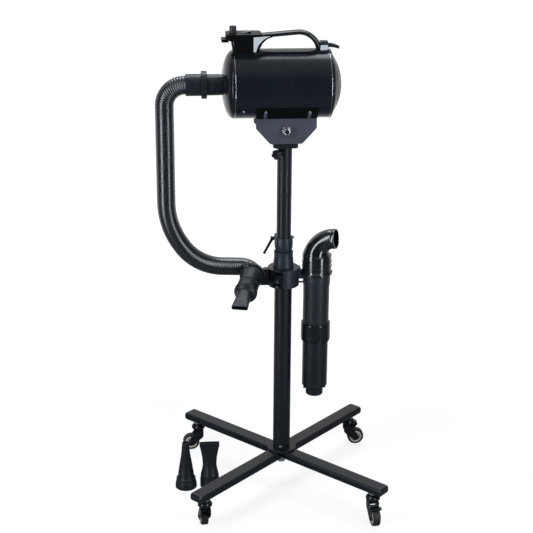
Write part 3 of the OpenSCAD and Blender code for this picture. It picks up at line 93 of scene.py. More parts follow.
# Wear of the edges: it grows as the softened normal leaves the true one, and comes in patches
EDGE_R = 0.0006
EDGE_SAMPLES = 6
EDGE_WEAR = 0.35
EDGE_FACING = (0.8, 0.985)  # cosine of the angle between the two normals, from fully worn to not worn
EDGE_PATCHES = (0.4, 0.62)
PALE_GAIN = 1.6
PALE_LIFT = 0.03

# Stove enamel with flakes: a flake is a cell whose random value is over FLAKE_OVER
FLAKE_SCALE = 1500.0
FLAKE_OVER = 0.9
FLAKE_BRIGHT = 5.0
ENAMEL_CLOUD_SCALE = 10.0
ENAMEL_GLOSS_SCALE = 60.0
ENAMEL_GRAIN = 350.0
ENAMEL_TONE_VARY = 0.15
ENAMEL_GLOSS_VARY = 0.03
ENAMEL_SPECULAR = 0.2
ENAMEL_COAT = 0.08
ENAMEL_COAT_ROUGH = 0.05
ENAMEL_BUMP = 0.06
ENAMEL_DEPTH = 0.0002


class Nodes:
    """Short way to add nodes to a material or world and to join them."""

    def __init__(self, tree):
        self.tree = tree

    def add(self, kind, **settings):
        node = self.tree.nodes.new("ShaderNode" + kind)
        for key, value in settings.items():
            setattr(node, key, value)
        return node

    def join(self, out, into):
        self.tree.links.new(out, into)

    def feed(self, value, into):
        """Joins an output to an input, or sets the input to a plain value."""
        if isinstance(value, (tuple, float, int)):
            into.default_value = value
        else:
            self.join(value, into)

    def noise(self, source, scale, detail):
        node = self.add("TexNoise")
        node.inputs["Scale"].default_value = scale
        node.inputs["Detail"].default_value = detail
        self.join(source, node.inputs["Vector"])
        return node.outputs["Fac"]

    def spread(self, source, low, high, start=0.3, end=0.7):
        """Maps a value from start..end to low..high."""
        node = self.add("MapRange")
        node.inputs["From Min"].default_value = start
        node.inputs["From Max"].default_value = end
        node.inputs["To Min"].default_value = low
        node.inputs["To Max"].default_value = high
        self.join(source, node.inputs["Value"])
        return node.outputs["Result"]

    def mix(self, factor, a, b):
        """Mixes two colours, each a tuple or an output."""
        node = self.add("Mix", data_type="RGBA")
        for value, place in zip((factor, a, b), MIX_INPUTS):
            self.feed(value, node.inputs[place])
        return node.outputs[MIX_RESULT]

    def math(self, operation, a, b):
        node = self.add("Math", operation=operation)
        self.feed(a, node.inputs[0])
        self.feed(b, node.inputs[1])
        return node.outputs[0]


def shade(colour, factor):
    return tuple(min(1.0, c * factor) for c in colour) + (1.0,)


def new_material(name):
    material = bpy.data.materials.new(name)
    material.use_nodes = True
    nodes = Nodes(material.node_tree)
    shader = material.node_tree.nodes["Principled BSDF"]
    place = nodes.add("TexCoord").outputs["Object"]
    return material, nodes, shader, place


def vary_tone(nodes, source, colour, vary):
    """The colour, a little darker and lighter with a noise."""
    return nodes.mix(nodes.spread(source, 0.0, 1.0), shade(colour, 1 - vary), shade(colour, 1 + vary))


def vary_gloss(nodes, shader, source, rough, vary):
    nodes.join(nodes.spread(source, rough - vary, rough + vary), shader.inputs["Roughness"])


def add_relief(nodes, shader, source, strength, depth):
    """Fine bump from a noise; the node is given back, so that its Normal can be fed."""
    relief = nodes.add("Bump")
    relief.inputs["Strength"].default_value = strength
    relief.inputs["Distance"].default_value = depth
    nodes.join(source, relief.inputs["Height"])
    nodes.join(relief.outputs[0], shader.inputs["Normal"])
    return relief


def finish(name, colour, rough, metal=0.0, specular=0.5, coat=0.0, grain=900.0, bump=0.1, depth=0.00015,
           edge=EDGE_R):
    """A finish with slight colour and gloss variation, fine grain and softened, lightly worn edges."""
    material, nodes, shader, place = new_material(name)
    tone = vary_tone(nodes, nodes.noise(place, CLOUD_SCALE, detail=4.0), colour, TONE_VARY)
    vary_gloss(nodes, shader, nodes.noise(place, GLOSS_SCALE, detail=5.0), rough, GLOSS_VARY)
    shader.inputs["Metallic"].default_value = metal
    shader.inputs["Specular IOR Level"].default_value = specular
    shader.inputs["Coat Weight"].default_value = coat
    shader.inputs["Coat Roughness"].default_value = COAT_ROUGH
    relief = add_relief(nodes, shader, nodes.noise(place, grain, detail=2.0), bump, depth)
    if edge:
        soft = nodes.add("Bevel", samples=EDGE_SAMPLES)
        soft.inputs["Radius"].default_value = edge
        nodes.join(soft.outputs[0], relief.inputs["Normal"])
        facing = nodes.add("VectorMath", operation="DOT_PRODUCT")
        nodes.join(soft.outputs[0], facing.inputs[0])
        nodes.join(nodes.add("NewGeometry").outputs["Normal"], facing.inputs[1])
        rubbed = nodes.spread(facing.outputs["Value"], EDGE_WEAR, 0.0, *EDGE_FACING)
        patches = nodes.spread(nodes.noise(place, PATCH_SCALE, detail=4.0), 0.0, 1.0, *EDGE_PATCHES)
        pale = tuple(min(1.0, PALE_GAIN * c + PALE_LIFT) for c in colour) + (1.0,)
        tone = nodes.mix(nodes.math("MULTIPLY", rubbed, patches), tone, pale)
    nodes.join(tone, shader.inputs["Base Color"])
    return material


def flake_finish(name, colour, rough):
    """Gloss stove enamel with fine metallic flakes in it."""
    material, nodes, shader, place = new_material(name)
    cells = nodes.add("TexVoronoi")
    cells.inputs["Scale"].default_value = FLAKE_SCALE
    nodes.join(place, cells.inputs["Vector"])
    flake = nodes.math("GREATER_THAN", cells.outputs["Color"], FLAKE_OVER)
    tone = vary_tone(nodes, nodes.noise(place, ENAMEL_CLOUD_SCALE, detail=3.0), colour, ENAMEL_TONE_VARY)
    nodes.join(nodes.mix(flake, tone, shade(colour, FLAKE_BRIGHT)), shader.inputs["Base Color"])
    vary_gloss(nodes, shader, nodes.noise(place, ENAMEL_GLOSS_SCALE, detail=4.0), rough, ENAMEL_GLOSS_VARY)
    shader.inputs["Specular IOR Level"].default_value = ENAMEL_SPECULAR
    shader.inputs["Coat Weight"].default_value = ENAMEL_COAT
    shader.inputs["Coat Roughness"].default_value = ENAMEL_COAT_ROUGH
    add_relief(nodes, shader, nodes.noise(place, ENAMEL_GRAIN, detail=2.0), ENAMEL_BUMP, ENAMEL_DEPTH)
    return material


def make_materials():
    return {
        "steel": finish("black_steel", (0.0052, 0.0072, 0.0102), 0.38, specular=0.28, bump=0.12,
                        grain=1300.0),
        "gloss": finish("gloss_black", (0.0042, 0.0056, 0.0078), 0.2, specular=0.35, bump=0.04, grain=500.0),
        "elbow": finish("elbow_black", (0.004, 0.005, 0.007), 0.15, specular=0.7, bump=0.02, grain=200.0,
                        coat=0.25, edge=0.0),
        "cheek": finish("cheek_black", (0.03, 0.034, 0.045), 0.12, specular=0.9, bump=0.02, grain=300.0),
        "cap": finish("cap_black", (0.0055, 0.0076, 0.0112), 0.24, specular=0.45, bump=0.05, grain=600.0),
        "polished": finish("polished_seam", (0.3, 0.31, 0.34), 0.16, metal=1.0, bump=0.03, grain=600.0,
                           edge=0.0),
        "shell": flake_finish("shell_black", (0.0055, 0.0076, 0.0115), 0.24),
        "cowl": finish("cowl_black", (0.005, 0.006, 0.0085), 0.18, specular=0.25, bump=0.04, grain=400.0),
        "saddle": finish("saddle_black", (0.0025, 0.0026, 0.003), 0.5, specular=0.06, bump=0.2, grain=1500.0),
        "box": finish("box_black", (0.0025, 0.0028, 0.0036), 0.38, specular=0.08, bump=0.2, grain=1500.0),
        "matte": finish("matte_black", (0.0055, 0.0082, 0.0118), 0.4, specular=0.3, bump=0.2, grain=1600.0),
        "tube": finish("tube_black", (0.0115, 0.0155, 0.0205), 0.4, specular=0.3, bump=0.2, grain=1600.0),
        "slate": finish("slate_plastic", (0.0125, 0.0172, 0.0245), 0.4, specular=0.35, bump=0.2,
                        grain=1500.0),
        "yoke": finish("yoke_grey", (0.052, 0.056, 0.074), 0.46, specular=0.3, bump=0.2, grain=1400.0),
        "zinc": finish("zinc", (0.62, 0.62, 0.64), 0.28, metal=1.0, bump=0.1, grain=700.0),
        "plated": finish("plated_bars", (0.36, 0.4, 0.48), 0.4, metal=1.0, bump=0.15, grain=900.0),
        "hose": finish("hose_vinyl", (0.0045, 0.0062, 0.0092), 0.27, specular=0.75, bump=0.03, grain=900.0,
                       edge=0.0),
        "rubber": finish("rubber", (0.012, 0.012, 0.013), 0.6, specular=0.2, bump=0.3, grain=1200.0),
        "tyre": finish("tyre", (0.016, 0.016, 0.017), 0.5, specular=0.3, bump=0.3, grain=1000.0),
        "cream": finish("cream_rim", (0.62, 0.58, 0.5), 0.4, bump=0.08, grain=900.0),
        "foam": finish("filter_foam", (0.02, 0.02, 0.023), 0.9, specular=0.1, bump=0.8, grain=500.0,
                       depth=0.001),
        "motor": finish("motor_grey", (0.3, 0.3, 0.32), 0.4, metal=1.0),
        "grille": finish("grille_metal", (0.1, 0.1, 0.112), 0.28, metal=1.0, edge=0.0),
        "blued": finish("blued_steel", (0.05, 0.052, 0.06), 0.3, metal=1.0),
        "knob": finish("knob_grey", (0.02, 0.021, 0.026), 0.35, specular=0.35, bump=0.1),
    }


SMOOTH_ANGLE = math.radians(28)
FINISH_OF = {
    "steel": ["long_bar", "short_bars", "hub_flange", "lower_mast", "upper_mast", "head_fork"],
    "gloss": ["bar_end_caps", "lock_lever", "pan_knob", "handle", "power_rocker", "rear_ring",
              "outlet_spigot", "clip_half", "coupling_ring"],
    "zinc": ["centre_bolt", "base_screws", "caster_stems", "pivot_bolt"],
    "blued": ["lever_bolt", "clamp_screws"],
    "plated": ["saddle_bolts"],
    "slate": ["clamp_sleeve", "ball_collar", "gland_block", "tube_half", "impeller"],
    "matte": ["lower_tube", "cone_nozzle", "spare_flat_nozzle", "glide_bush", "hose_end_cuff", "hose_coupler",
              "fitted_nozzle"],
    "tube": ["wide_tube"],
    "saddle": ["saddle"],
    "box": ["control_box"],
    "shell": ["housing_shell"],
    "cowl": ["front_cowl"],
    "elbow": ["elbow"],
    "yoke": ["yoke_plates"],
    "rubber": ["strain_relief", "motor_mounts"],
    "foam": ["filter_pad"],
    "motor": ["motor"],
    "grille": ["grille"],
    "knob": ["speed_knob"],
}
# Azimuth of each caster on the foot cross and the way it trails, in degrees
CORNERS = {"fr": (-45, -82), "rr": (45, 0), "rl": (135, 180), "fl": (225, 97)}


def dress_nodes():
    finish_of = {node: key for key, names in FINISH_OF.items() for node in names}
    for name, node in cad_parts.items():
        if name.startswith(("fork_", "pedal_")):
            key = "gloss"
        elif name.startswith("wheel_"):
            key = "tyre"
        elif name == "air_hose":
            key = "hose"
        else:
            key = finish_of[name]
        node.data.materials.clear()
        node.data.materials.append(LOOK[key])
        node.data.shade_smooth()
        node.data.set_sharp_from_angle(angle=SMOOTH_ANGLE)


# ---------------------------------------------------------------- mesh tools

UP = Vector((0, 0, 1))
MERGE_DISTANCE = 1e-6
ROUND_SEGMENTS = 3
ROUND_ANGLE = math.radians(35)  # round_off bevels edges sharper than this
SCREW_SIDES = 32


def ring(centre, u, v, radius, sides):
    """Points round a centre; the radius may be a function of the angle."""
    points = []
    for j in range(sides):
        a = 2 * math.pi * j / sides
        r = radius(a) if callable(radius) else radius
        points.append(centre + r * (math.cos(a) * u + math.sin(a) * v))
    return points


def across(way):
    """Two unit vectors square to a way and to each other."""
    way = Vector(way).normalized()
    u = way.orthogonal().normalized()
    return u, way.cross(u)


class Shape:
    """Points and faces of one piece, added part by part."""

    def __init__(self):
        self.points = []
        self.faces = []

    def add(self, points, faces):
        base = len(self.points)
        self.points.extend(points)
        self.faces.extend(tuple(base + i for i in face) for face in faces)

    def loft(self, rings, loop=False, ends=True):
        """Skin over rings of equal length: a closed loop of rings, or with its two ends filled."""
        sides = len(rings[0])
        faces = []
        for i in range(len(rings) if loop else len(rings) - 1):
            a, b = i * sides, (i + 1) % len(rings) * sides
            for j in range(sides):
                k = (j + 1) % sides
                faces.append((a + j, a + k, b + k, b + j))
        if ends and not loop:
            last = (len(rings) - 1) * sides
            faces.append(tuple(reversed(range(sides))))
            faces.append(tuple(range(last, last + sides)))
        self.add([p for r in rings for p in r], faces)

    def turned(self, profile, at, way, sides=72, loop=True):
        """Solid of revolution: the profile is an outline of (radius, height) along way from at."""
        at, way = Vector(at), Vector(way).normalized()
        u, v = across(way)
        self.loft([ring(at + h * way, u, v, r, sides) for r, h in profile], loop=loop)

    def bar(self, middle, sides):
        """Box round a middle from its three half-side vectors."""
        x, y, z = sides
        corners = [(-1, -1), (1, -1), (1, 1), (-1, 1)]
        self.loft([[middle + a * x + b * y + c * z for a, b in corners] for c in (-1, 1)])

    def screw(self, at, way, radius):
        """Pan head with a cross recess."""
        way = Vector(way).normalized()
        u, v = across(way)

        def cross(size):
            return lambda a: radius * size * (0.35 + 0.65 * abs(math.cos(2 * a)) ** 6)

        # Radius, and height as a share of the head's radius; the last two are the recess
        levels = [(radius, -0.1), (radius, 0.3), (0.93 * radius, 0.5), (0.8 * radius, 0.6),
                  (cross(0.62), 0.66), (cross(0.5), 0.25)]
        self.loft([ring(at + h * radius * way, u, v, r, SCREW_SIDES) for r, h in levels])

    def piece(self, name, look, body=None, round_off=0.0):
        """The finished object; round_off bevels its sharp edges."""
        mesh = bpy.data.meshes.new(name)
        mesh.from_pydata([tuple(p) for p in self.points], [], self.faces)
        work = bmesh.new()
        work.from_mesh(mesh)
        bmesh.ops.remove_doubles(work, verts=work.verts, dist=MERGE_DISTANCE)
        bmesh.ops.recalc_face_normals(work, faces=work.faces)
        work.to_mesh(mesh)
        work.free()
        mesh.materials.append(LOOK[look])
        mesh.shade_smooth()
        mesh.set_sharp_from_angle(angle=SMOOTH_ANGLE)
        piece = bpy.data.objects.new(name, mesh)
        scene.collection.objects.link(piece)
        if round_off:
            bevel = piece.modifiers.new("round_off", "BEVEL")
            bevel.width = round_off
            bevel.segments = ROUND_SEGMENTS
            bevel.limit_method = "ANGLE"
            bevel.angle_limit = ROUND_ANGLE
        if body:
            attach(piece, body)
        return piece


# ---------------------------------------------------------------- air hose

# The route of part.scad's air_hose: a rounded line through these corners, bent to these radii
HOSE_ROUTE = [(-0.1915, 0, 1.068), (-0.287, 0, 1.068), (-0.287, 0, 0.722), (-0.214, 0.010, 0.612),
              (-0.0664, 0.0369, 0.5958), (-0.0867, -0.0387, 0.5848)]
HOSE_BENDS = [0.049, 0.2, 0.14, 0.026]
HOSE_R = 0.0225
HOSE_PITCH = 0.005
HOSE_SIDES = 36
# The ribs are deepest where the hose leaves the dryer, and fade over RIB_FADE to the share RIB_LEAST
RIB_DEPTH = 0.0013
RIB_FADE = 0.2
RIB_LEAST = 0.1
RIB_STEPS = 6
RIB_ROUND = 0.4  # power of the rib's cosine profile: below 1 its crest is broad and its groove narrow
# Each stretch with the two bodies that it goes between
STRETCHES = [("hose_top", "dryer", "head"), ("hose_middle", "head", "mast"), ("hose_foot", "mast", "stand")]


def rounded_route(corners, bends):
    """Straights and arcs of a rounded line, each as (length, function of the length along it)."""
    corners = [Vector(c) for c in corners]
    ways = [(b - a).normalized() for a, b in zip(corners, corners[1:])]
    parts = []
    start = corners[0]
    for k, radius in enumerate(bends):
        way, after = ways[k], ways[k + 1]
        turn = way.angle(after)
        cut = radius * math.tan(turn / 2)
        end = corners[k + 1] - cut * way
        side = (after - after.dot(way) * way).normalized()
        parts.append(((end - start).length, lambda s, p=start, w=way: (p + s * w, w)))
        parts.append((radius * turn, lambda s, p=end, w=way, n=side, r=radius: (
            p + r * math.sin(s / r) * w + r * (1 - math.cos(s / r)) * n,
            math.cos(s / r) * w + math.sin(s / r) * n)))
        start = corners[k + 1] + cut * after
    parts.append(((corners[-1] - start).length, lambda s, p=start, w=ways[-1]: (p + s * w, w)))
    return parts


def along(parts, s):
    """Point and way at a length along the route."""
    for length, point in parts[:-1]:
        if s <= length:
            return point(s)
        s -= length
    return parts[-1][1](s)


def hose_stops():
    """Stops along the hose, each as (centre, way, side, radius), with RIB_STEPS of them to a rib."""
    parts = rounded_route(HOSE_ROUTE, HOSE_BENDS)
    total = sum(p[0] for p in parts)
    steps = round(total / HOSE_PITCH) * RIB_STEPS
    u = Vector((0, 1, 0))
    stops = []
    for i in range(steps + 1):
        centre, way = along(parts, total * i / steps)
        u = (u - u.dot(way) * way).normalized()
        crest = (0.5 + 0.5 * math.cos(2 * math.pi * i / RIB_STEPS)) ** RIB_ROUND
        deep = RIB_DEPTH * max(RIB_LEAST, 1 - total * i / steps / RIB_FADE)
        stops.append((centre, way, u.copy(), HOSE_R - deep * (1 - crest)))
    return stops


def make_hose():
    """The ribbed hose in three stretches, cut at thirds of its length."""
    stops = hose_stops()
    steps = len(stops) - 1
    cuts = [0, steps // 3, 2 * steps // 3, steps]
    for k, (name, upper, lower) in enumerate(STRETCHES):
        own = stops[cuts[k]:cuts[k + 1] + 1]
        skin = Shape()
        rings = [ring(centre, side, way.cross(side), radius, HOSE_SIDES) for centre, way, side, radius in own]
        skin.loft(rings, ends=False)
        piece = skin.piece(name, "hose")
        if k == 0:
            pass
        elif k == 1:
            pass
        else:
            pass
        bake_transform(piece)
        if k == 0:
            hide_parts("air_hose")


# ---------------------------------------------------------------- casters

CASTER_R = 0.296
CASTER_TRAIL = 0.020
WHEEL_R = 0.0225
TYRE_HALF = 0.009
TYRE_ROUND = 0.003
RIM_R = 0.017
SPOKES = 8
SPOKE_AT = 0.0104
SPOKE_SIDE = 0.0045
SPOKE_HALF = (0.0030, 0.0007, 0.0017)  # along its radius, round the wheel and along the axle
# Half outlines of (radius, distance from the wheel's middle plane)
TYRE_BEAD = [(RIM_R + 0.0002, 0.0088), (RIM_R + 0.0014, TYRE_HALF), (RIM_R + 0.0018, 0.0086),
             (RIM_R + 0.0024, 0.0088)]
TYRE_SHOULDER = [(WHEEL_R - TYRE_ROUND + TYRE_ROUND * math.sin(a),
                  TYRE_HALF - TYRE_ROUND + TYRE_ROUND * math.cos(a))
                 for a in (math.radians(15 * i) for i in range(7))]
TYRE_GROOVE = [(WHEEL_R, 0.0042), (WHEEL_R - 0.0006, 0.0039), (WHEEL_R - 0.0006, 0.0033), (WHEEL_R, 0.003)]
RIM_OUTLINE = [(0.0031, 0.0099), (0.0066, 0.0099), (0.0072, 0.0093), (0.0078, 0.0034), (0.0124, 0.003),
               (0.0130, 0.0078), (0.0134, 0.0083), (0.0152, 0.0083), (0.0156, 0.0078), (0.0164, 0.0078),
               (RIM_R, 0.0073)]


def mirrored(half):
    """An outline of (radius, height) with its image below height 0."""
    return half + [(r, -h) for r, h in reversed(half)]


def make_wheel(key):
    """Cream rim with ribs and a hub, in a black tyre with two grooves round its tread."""
    azimuth, trail = (math.radians(a) for a in CORNERS[key])
    way = Vector((math.cos(trail), math.sin(trail), 0))
    axle = Vector((-math.sin(trail), math.cos(trail), 0))
    middle = CASTER_R * Vector((math.cos(azimuth), math.sin(azimuth), 0)) + CASTER_TRAIL * way
    middle.z = WHEEL_R
    tyre = Shape()
    tyre.turned(mirrored(TYRE_BEAD + TYRE_SHOULDER + TYRE_GROOVE), middle, axle)
    tread = tyre.piece("tyre_" + key, "tyre", "wheel_" + key)
    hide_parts("wheel_" + key)
    rim = Shape()
    rim.turned(mirrored(RIM_OUTLINE), middle, axle)
    length, width, depth = SPOKE_HALF
    for i in range(SPOKES):
        a = 2 * math.pi * i / SPOKES
        out = math.cos(a) * way + math.sin(a) * UP
        for side in (-1, 1):
            rim.bar(middle + SPOKE_AT * out + side * SPOKE_SIDE * axle,
                    (length * out, width * out.cross(axle), depth * axle))
    rim.piece("rim_" + key, "cream", "wheel_" + key)


# ---------------------------------------------------------------- dryer

AXIS_Z = 1.068
SHELL_R = 0.08
SHELL_X = (-0.1245, 0.1025)
ROUND_SIDES = 96

GRILLE_X = 0.1071
GRILLE_RIM_R = 0.071
GRILLE_BASE_R = GRILLE_RIM_R + 0.003
GRILLE_DEPTH = 0.025
GRILLE_T = 0.0012
GRILLE_BALL = (GRILLE_BASE_R ** 2 + GRILLE_DEPTH ** 2) / (2 * GRILLE_DEPTH)
HOLE_PITCH = 0.0046
HOLE_ROW = math.sqrt(0.75)  # distance between rows of holes, as a share of the pitch
HOLE_R = 0.0018
HOLE_FIELD = 0.0625
HOLE_CORNERS = [math.pi / 3 * (k + 0.5) for k in range(6)]
RIM_LAP = 0.0012
RIM_GAP = 0.0004
RIM_STEPS = 8
RIM_INSET = 0.0002

SEAM_R = 0.0011
SEAM_INSET = 0.0016
SEAM_SINK = 0.0002
SEAM_SIDES = 12

SLOT_BAR_X = (-0.0515, 0.0515)
SLOT_BAR_ANGLE = 40  # degrees from straight down
SLOT_BAR_HALF = 0.0036
SLOT_BAR_STRAIGHT = 0.0142
SLOT_BAR_SIDES = 40
SLOT_BAR_LEVELS = [(0.0003, 0), (0.0034, 0), (0.0039, 0.0003), (0.0041, 0.001)]  # lift over the shell, shrink

# Side faces as outlines of (x, z). Each reaches from its root in Y to its tip at the outline's last
# point, and with its slope it goes further out or in toward the outlet.
GRIP_WEB = [(-0.0784, 1.1835), (-0.0784, 1.1485), (-0.0718, 1.1482), (-0.0695, 1.156), (-0.0655, 1.164),
            (-0.0595, 1.171), (-0.0525, 1.1765), (-0.0450, 1.1803), (-0.0385, 1.1822), (-0.0375, 1.1835)]
GLAND_SIDE = [(0.0792, 1.1618), (0.0792, 1.1500), (0.0976, 1.1500), (0.0976, 1.1618)]
BOX_EDGE = [(-0.1287, 1.1795), (-0.1287, 1.1665), (-0.1283, 1.1645), (-0.1235, 1.1645), (-0.1235, 1.1795)]
CHEEKS = [("cheek", GRIP_WEB, 0.0128, 0.0135, 0.298), ("gland_cheek", GLAND_SIDE, 0.0118, 0.0122, 0.22),
          ("box_bevel", BOX_EDGE, 0.025, 0.0284, -0.5)]
CHEEK_ROUND = 0.0006


def on_shell(x, angle, r=SHELL_R):
    """Point of the shell and its outward way, at an angle up from the front."""
    a = math.radians(angle)
    out = Vector((0, -math.cos(a), math.sin(a)))
    return Vector((x, 0, AXIS_Z)) + r * out, out


def on_guard(y, z, lift):
    """Point of the grille's dome, or of the one that lies lift outside it."""
    depth = math.sqrt((GRILLE_BALL + lift) ** 2 - y * y - z * z) - (GRILLE_BALL - GRILLE_DEPTH)
    return Vector((GRILLE_X + depth, y, AXIS_Z + z))


def make_grille():
    """Domed guard punched with rows of small six-sided holes, and the domed band round it."""
    guard = Shape()
    rows = math.ceil(HOLE_FIELD / (HOLE_PITCH * HOLE_ROW))
    cell = HOLE_PITCH / math.sqrt(3)
    for i in range(-rows, rows + 1):
        for j in range(-rows, rows + 1):
            y = HOLE_PITCH * (j + (i % 2) / 2)
            z = HOLE_PITCH * HOLE_ROW * i
            if math.hypot(y, z) > HOLE_FIELD:
                continue
            outline = []
            for radius, lift in ((HOLE_R, -GRILLE_T), (HOLE_R, 0.0), (cell, 0.0)):
                ends = [(radius * math.cos(a), radius * math.sin(a)) for a in HOLE_CORNERS]
                outline.append([on_guard(y + p, z + q, lift) for p, q in ends])
            guard.loft(outline, ends=False)
    piece = guard.piece("grille_guard", "grille", "dryer")
    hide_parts("grille")
    rim = Shape()
    edge = []
    for k in range(RIM_STEPS + 1):
        r = HOLE_FIELD - RIM_LAP + (GRILLE_RIM_R - RIM_GAP - HOLE_FIELD + RIM_LAP) * k / RIM_STEPS
        edge.append((r, math.sqrt(GRILLE_BALL ** 2 - r * r) - (GRILLE_BALL - GRILLE_DEPTH)))
    under = [(r - RIM_INSET, d - GRILLE_T) for r, d in reversed(edge)]
    rim.turned(edge + under, (GRILLE_X, 0, AXIS_Z), (1, 0, 0), ROUND_SIDES)
    rim.piece("grille_rim", "gloss", "dryer")


def make_seams():
    """Rolled polished bead at each end of the shell."""
    outline = [math.radians(360 / SEAM_SIDES * i) for i in range(SEAM_SIDES)]
    for name, x in (("seam_outlet", SHELL_X[0] + SEAM_INSET), ("seam_inlet", SHELL_X[1] - SEAM_INSET)):
        rings = []
        for a in outline:
            centre = Vector((x + SEAM_R * math.cos(a), 0, AXIS_Z))
            radius = SHELL_R - SEAM_SINK + SEAM_R * math.sin(a)
            rings.append(ring(centre, Vector((0, 1, 0)), UP, radius, ROUND_SIDES))
        seam = Shape()
        seam.loft(rings, loop=True)
        seam.piece(name, "polished", "dryer")


def slot_bar_ring(centre, out, along_slot, lift, shrink):
    """Oblong outline over the shell, its long way along the slot."""
    points = []
    half = SLOT_BAR_HALF - shrink
    for j in range(SLOT_BAR_SIDES):
        a = 2 * math.pi * j / SLOT_BAR_SIDES
        p, q = half * math.cos(a), half * math.sin(a)
        q += SLOT_BAR_STRAIGHT if q > 0 else -SLOT_BAR_STRAIGHT
        points.append(centre + (SHELL_R + lift) * out + p * Vector((1, 0, 0)) + q * along_slot)
    return points


def make_saddle_bars():
    """Oblong satin bars that fill the four slots of the saddle and carry the shell."""
    bars = Shape()
    for x in SLOT_BAR_X:
        for side in (-1, 1):
            tilt = math.radians(180 + side * SLOT_BAR_ANGLE)
            out = Vector((0, -math.sin(tilt), math.cos(tilt)))
            along_slot = Vector((1, 0, 0)).cross(out)
            centre = Vector((x, 0, AXIS_Z))
            bars.loft([slot_bar_ring(centre, out, along_slot, *level) for level in SLOT_BAR_LEVELS])
    piece = bars.piece("saddle_bars", "plated", "dryer")
    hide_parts("saddle_bolts")


def make_cheeks():
    """Glossy slanting faces: under the handle's grip, on the gland block and down the control box's edge."""
    for name, edge, root, tip, slope in CHEEKS:
        for end, side in (("front", -1), ("back", 1)):
            cheek = Shape()
            inner = [Vector((x, side * root, z)) for x, z in edge]
            outer = [Vector((x, side * (tip + slope * (edge[-1][0] - x)), z)) for x, z in edge]
            cheek.loft([inner, outer])
            cheek.piece(name + "_" + end, "cheek", "dryer", round_off=CHEEK_ROUND)


# ---------------------------------------------------------------- elbow, cone nozzle, foot caps, fasteners

ELBOW_FOOT = Vector((0.0835, 0, 0.590))
ELBOW_TURN = math.radians(-24.5)
ELBOW_BORE = 0.0328
ELBOW_R = 0.03675
ELBOW_STEPS = 40
# The skirt as (radius over ELBOW_R, height): a flange, a slope up from it and a plain wall
SKIRT_OUTLINE = [(0.0026, 0.0), (0.003, 0.0005), (0.003, 0.0055), (0.0026, 0.006), (0.0005, 0.0095),
                 (0.0, 0.0103), (0.0, 0.0186)]
SKIRT_TOP = (-0.00005, 0.0365)
SKIRT_H = 0.0488
BEAD_Z = (0.0205, 0.0315)
BEAD_OUT = 0.0013
BEAD_HALF = 0.0017
BEAD_STEPS = 6
BEND_R = 0.045
BEND_END = math.radians(83)
BEND_IN = 0.0001  # the bend starts this much inside the skirt's wall
BORE_OUT = 0.0005  # the bend's inside stands this much outside the bores at its two ends
MOUTH_R = 0.025
MOUTH_BORE = 0.0225
LIP_H = 0.009
# The mouth's lip as (height, radius), from the end of the bend out and back in to the bore
LIP_OUTLINE = [(0.0006, MOUTH_R), (0.0014, MOUTH_R + 0.0004), (LIP_H - 0.001, MOUTH_R + 0.0004),
               (LIP_H, MOUTH_R - 0.0002), (LIP_H, MOUTH_BORE + 0.0004), (LIP_H - 0.0006, MOUTH_BORE),
               (0.0, MOUTH_BORE)]

CONE_AT = (-0.250, 0, 0)
CONE_OUTLINE = [(0.0221, 0.0), (0.0272, 0.0), (0.028, 0.0008), (0.028, 0.0055), (0.0271, 0.0135),
                (0.0262, 0.0155), (0.0262, 0.0175), (0.0252, 0.019), (0.0252, 0.0255), (0.0246, 0.027),
                (0.0228, 0.0285), (0.0208, 0.034), (0.0198, 0.0455), (0.0190, 0.0475), (0.0172, 0.062),
                (0.0118, 0.095), (0.0092, 0.1225), (0.0089, 0.1275), (0.0085, 0.128), (0.0069, 0.128),
                (0.0066, 0.1274), (0.0098, 0.095), (0.0154, 0.062), (0.0176, 0.046), (0.0196, 0.03),
                (0.0211, 0.0205), (0.0221, 0.0205)]

CAP_AZIMUTHS = (45, 135, 225, 315)
CAP_Z = 0.095
CAP_START = 0.322
CAP_LENGTH = 0.008
CAP_HALF_W = 0.02
CAP_HALF_H = 0.01
CAP_CORNER = 0.007
CAP_CORNER_LEAST = 0.0015
CAP_CORNER_SHRINK = 0.4  # how much of an inset goes off the corner's radius
CAP_DOME = 0.0055
CAP_STEPS = 8
CAP_ROOT = [(-0.006, 0.0022), (0.0, 0.0022), (0.0, 0.0003), (0.0006, 0.0)]  # past CAP_START, inset

NUT_FACE = (0, -0.0456, 0.963)
NUT_COLLAR = [(0.0052, -0.0004), (0.0084, -0.0004), (0.0084, 0.0004), (0.008, 0.0013), (0.0072, 0.0020),
              (0.0063, 0.0022), (0.0056, 0.0019), (0.0052, 0.0011)]
BOLT_END = [(0.0049, 0.0018), (0.0049, 0.0026), (0.0044, 0.0030), (0.0012, 0.0030), (0.0008, 0.0024)]
COWL_SCREW_X = -0.103
COWL_SCREW_ANGLES = (-40, 220)
COWL_SCREW_R = 0.0032
RING_SCREW_X = SHELL_X[1] + 0.0028
RING_SCREW_ANGLES = (9, 99, 189, 279)
RING_SCREW_R = 0.0026
RING_SCREW_SINK = 0.0006


